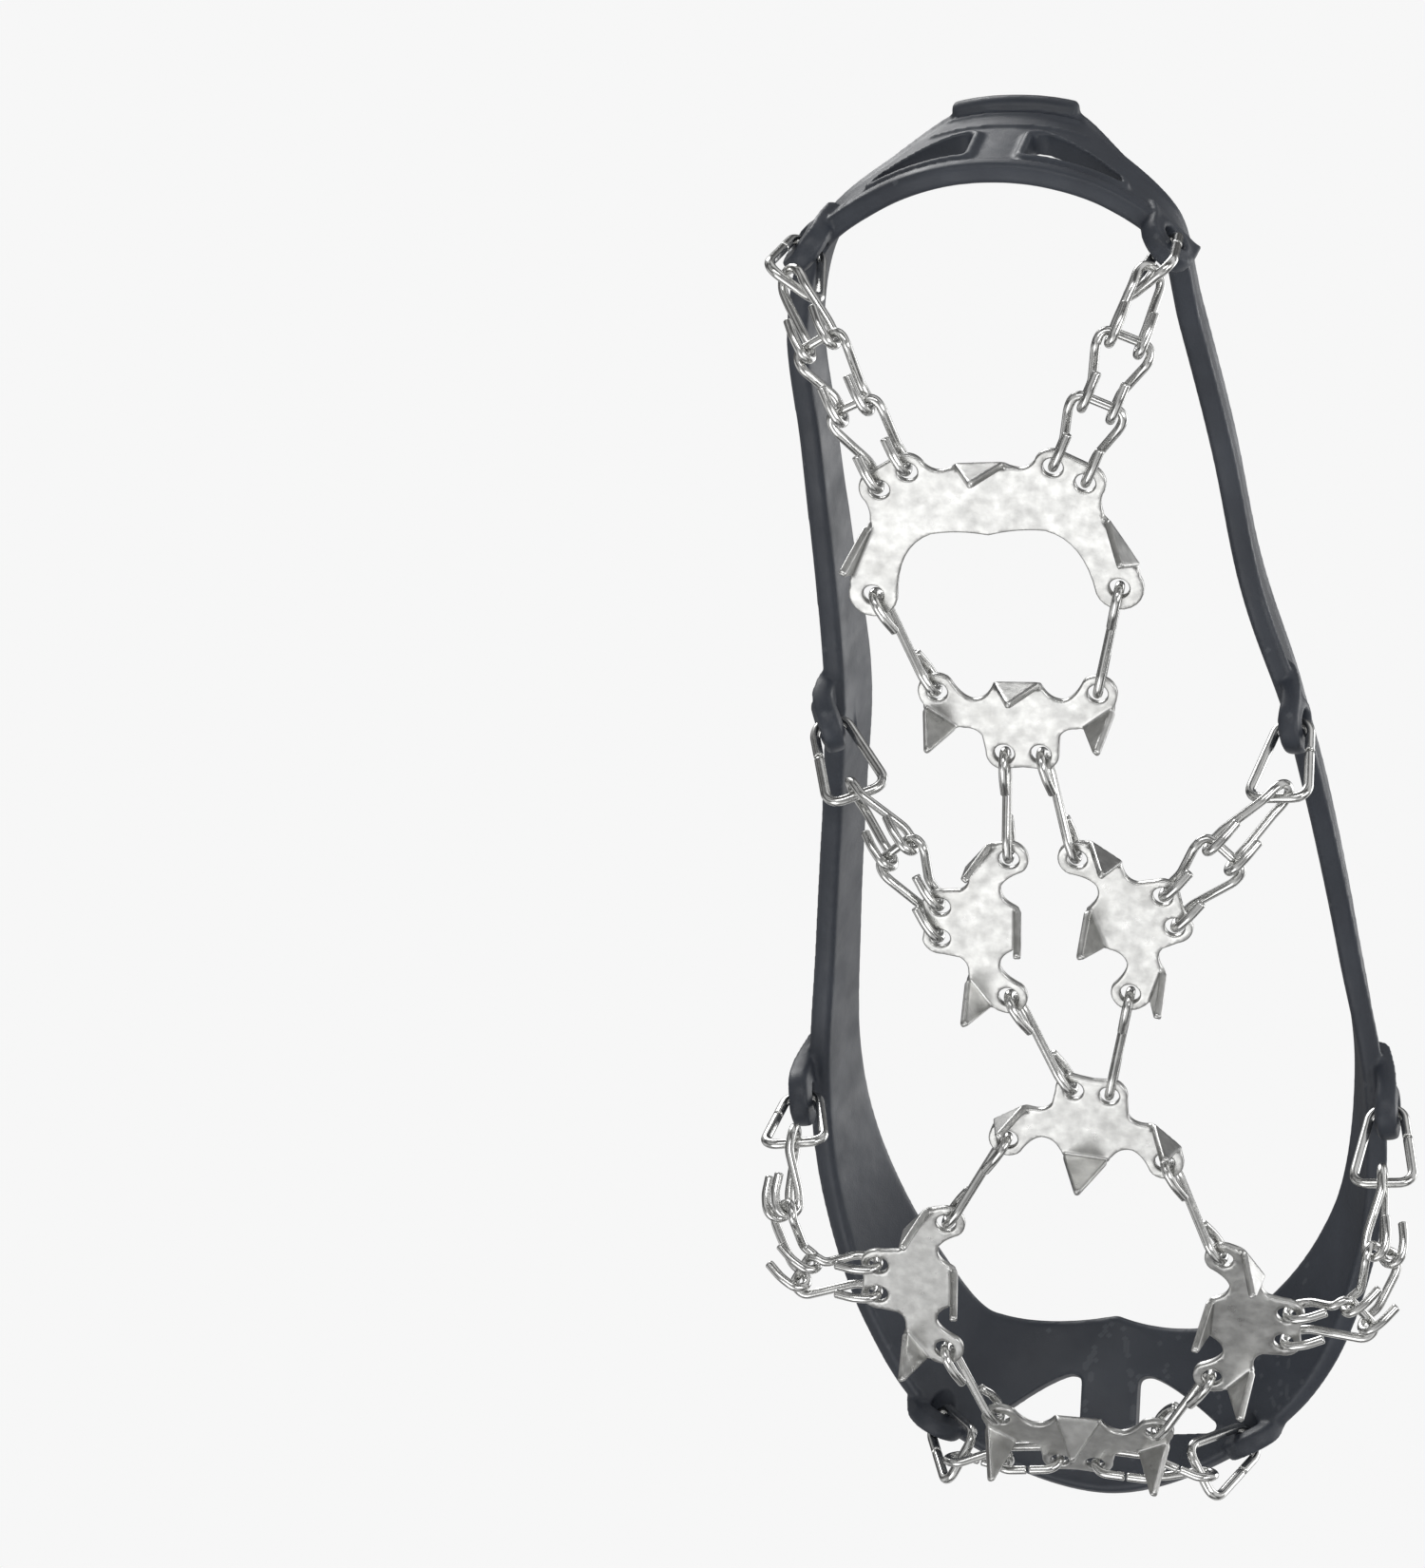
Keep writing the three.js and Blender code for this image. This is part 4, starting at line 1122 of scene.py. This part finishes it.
def joined(name, pieces):
    verts, faces = [], []
    for part_verts, part_faces in pieces:
        first = len(verts)
        verts += part_verts
        faces += [tuple(first + i for i in face) for face in part_faces]
    return new_object(name, verts, faces, RUBBER)


def baked(obj):
    """The object's mesh with its modifiers worked in."""
    graph = bpy.context.evaluated_depsgraph_get()
    mesh = bpy.data.meshes.new_from_object(obj.evaluated_get(graph))
    obj.modifiers.clear()
    obj.data = mesh


harness = joined("harness_rubber", parts)
blend = harness.modifiers.new("moulded", "REMESH")
blend.mode = "VOXEL"
blend.voxel_size = MOULD_VOXEL * MM
baked(harness)
tool = joined("window_tool", cutters)
cut = harness.modifiers.new("windows", "BOOLEAN")
cut.operation = "DIFFERENCE"
cut.solver = "EXACT"
cut.object = tool
baked(harness)
bpy.data.objects.remove(tool)
again = harness.modifiers.new("moulded again", "REMESH")
again.mode = "VOXEL"
again.voxel_size = MOULD_VOXEL * MM
soft = harness.modifiers.new("softened", "SMOOTH")
soft.factor = 0.5
soft.iterations = 6
baked(harness)
harness.data.polygons.foreach_set("use_smooth", [True] * len(harness.data.polygons))
harness.data.materials.clear()
harness.data.materials.append(RUBBER)
finished(harness, "harness")

# ---- floor, light and camera ----------------------------------------------------------------------


def floor_material():
    n = Nodes("pale_floor")
    shade = n.blend(n.noise(3, 2), (0.80, 0.80, 0.80), (0.84, 0.84, 0.84))
    n.link(shade, n.shader.inputs["Base Color"])
    n.shader.inputs["Roughness"].default_value = 0.9
    clear = n.tree.nodes.new("ShaderNodeBsdfTransparent")
    pick = n.tree.nodes.new("ShaderNodeMixShader")
    side = n.tree.nodes.new("ShaderNodeNewGeometry")
    n.link(side.outputs["Backfacing"], pick.inputs["Fac"])
    n.link(n.shader.outputs["BSDF"], pick.inputs[1])
    n.link(clear.outputs["BSDF"], pick.inputs[2])
    n.link(pick.outputs["Shader"], n.tree.nodes["Material Output"].inputs["Surface"])
    return n.material


low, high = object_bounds()
reach = 3000
corners = [(-reach, -reach, 0), (reach, -reach, 0), (reach, reach, 0), (-reach, reach, 0)]
floor = new_object("floor", corners, [(0, 1, 2, 3)], floor_material(), smooth=False)
floor.location.z = low.z - 0.0002
floor.visible_shadow = False
floor.visible_glossy = False


def area_light(name, place, target, size, power, colour=(1, 1, 1)):
    light = bpy.data.lights.new(name, "AREA")
    light.shape = "RECTANGLE"
    light.size, light.size_y = size
    light.energy = power
    light.color = colour
    obj = bpy.data.objects.new(name, light)
    obj.location = place
    obj.rotation_mode = "QUATERNION"
    obj.rotation_quaternion = (Vector(target) - Vector(place)).to_track_quat("-Z", "Y")
    bpy.context.scene.collection.objects.link(obj)


CENTRE = (0, -0.015, 0.02)
area_light("key_above", (-0.6, -0.7, 1.1), CENTRE, (0.7, 0.7), 10)
area_light("fill_above", (0.9, 0.4, 0.9), CENTRE, (0.9, 0.9), 6)
area_light("key_below", (-0.42, 0.42, -1.05), CENTRE, (0.8, 0.75), 3.0)
area_light("side_below", (0.95, -0.25, -0.7), CENTRE, (0.35, 0.9), 4)
area_light("strip_below", (0.1, -1.0, -0.75), CENTRE, (0.9, 0.3), 3)

world = bpy.data.worlds.new("studio")
world.use_nodes = True
tree = world.node_tree
seen = tree.nodes["Background"]
seen.inputs["Color"].default_value = (0.93, 0.93, 0.93, 1)
seen.inputs["Strength"].default_value = 1.0
room = tree.nodes.new("ShaderNodeBackground")
patches = tree.nodes.new("ShaderNodeTexNoise")
patches.inputs["Scale"].default_value = 1.6
patches.inputs["Detail"].default_value = 1.0
tree.links.new(tree.nodes.new("ShaderNodeTexCoord").outputs["Generated"], patches.inputs["Vector"])
ramp = tree.nodes.new("ShaderNodeMapRange")
for key, number in zip(MAP_RANGE_SOCKETS, (0.38, 0.62, 0.10, 0.95)):
    ramp.inputs[key].default_value = number
tree.links.new(patches.outputs["Fac"], ramp.inputs["Value"])
tree.links.new(ramp.outputs["Result"], room.inputs["Strength"])
choose = tree.nodes.new("ShaderNodeMixShader")
tree.links.new(tree.nodes.new("ShaderNodeLightPath").outputs["Is Camera Ray"], choose.inputs["Fac"])
tree.links.new(room.outputs["Background"], choose.inputs[1])
tree.links.new(seen.outputs["Background"], choose.inputs[2])
tree.links.new(choose.outputs["Shader"], tree.nodes["World Output"].inputs["Surface"])
bpy.context.scene.world = world
bpy.context.scene.view_settings.view_transform = "Standard"

AZIMUTH, ELEVATION, ROLL = rad(22.478), rad(-57.826), rad(19.753)
DISTANCE = 2.1
ASIDE, RAISED = -0.0644, 0.04294
camera_data = bpy.data.cameras.new("camera")
camera = bpy.data.objects.new("camera", camera_data)
bpy.context.scene.collection.objects.link(camera)
bpy.context.scene.camera = camera
back = Vector((
    math.sin(AZIMUTH) * math.cos(ELEVATION),
    -math.cos(AZIMUTH) * math.cos(ELEVATION),
    math.sin(ELEVATION),
))
right = UP.cross(back).normalized()
up = back.cross(right)
turned_right = right * math.cos(ROLL) + up * math.sin(ROLL)
turned_up = up * math.cos(ROLL) - right * math.sin(ROLL)
place = back * DISTANCE + turned_right * ASIDE + turned_up * RAISED
basis = Matrix((turned_right, turned_up, back)).transposed().to_4x4()
camera.matrix_world = Matrix.Translation(place) @ basis
camera_data.sensor_width = 36
camera_data.sensor_fit = "AUTO"
camera_data.lens = 240.95
camera_data.clip_start = 0.05
camera_data.clip_end = 50
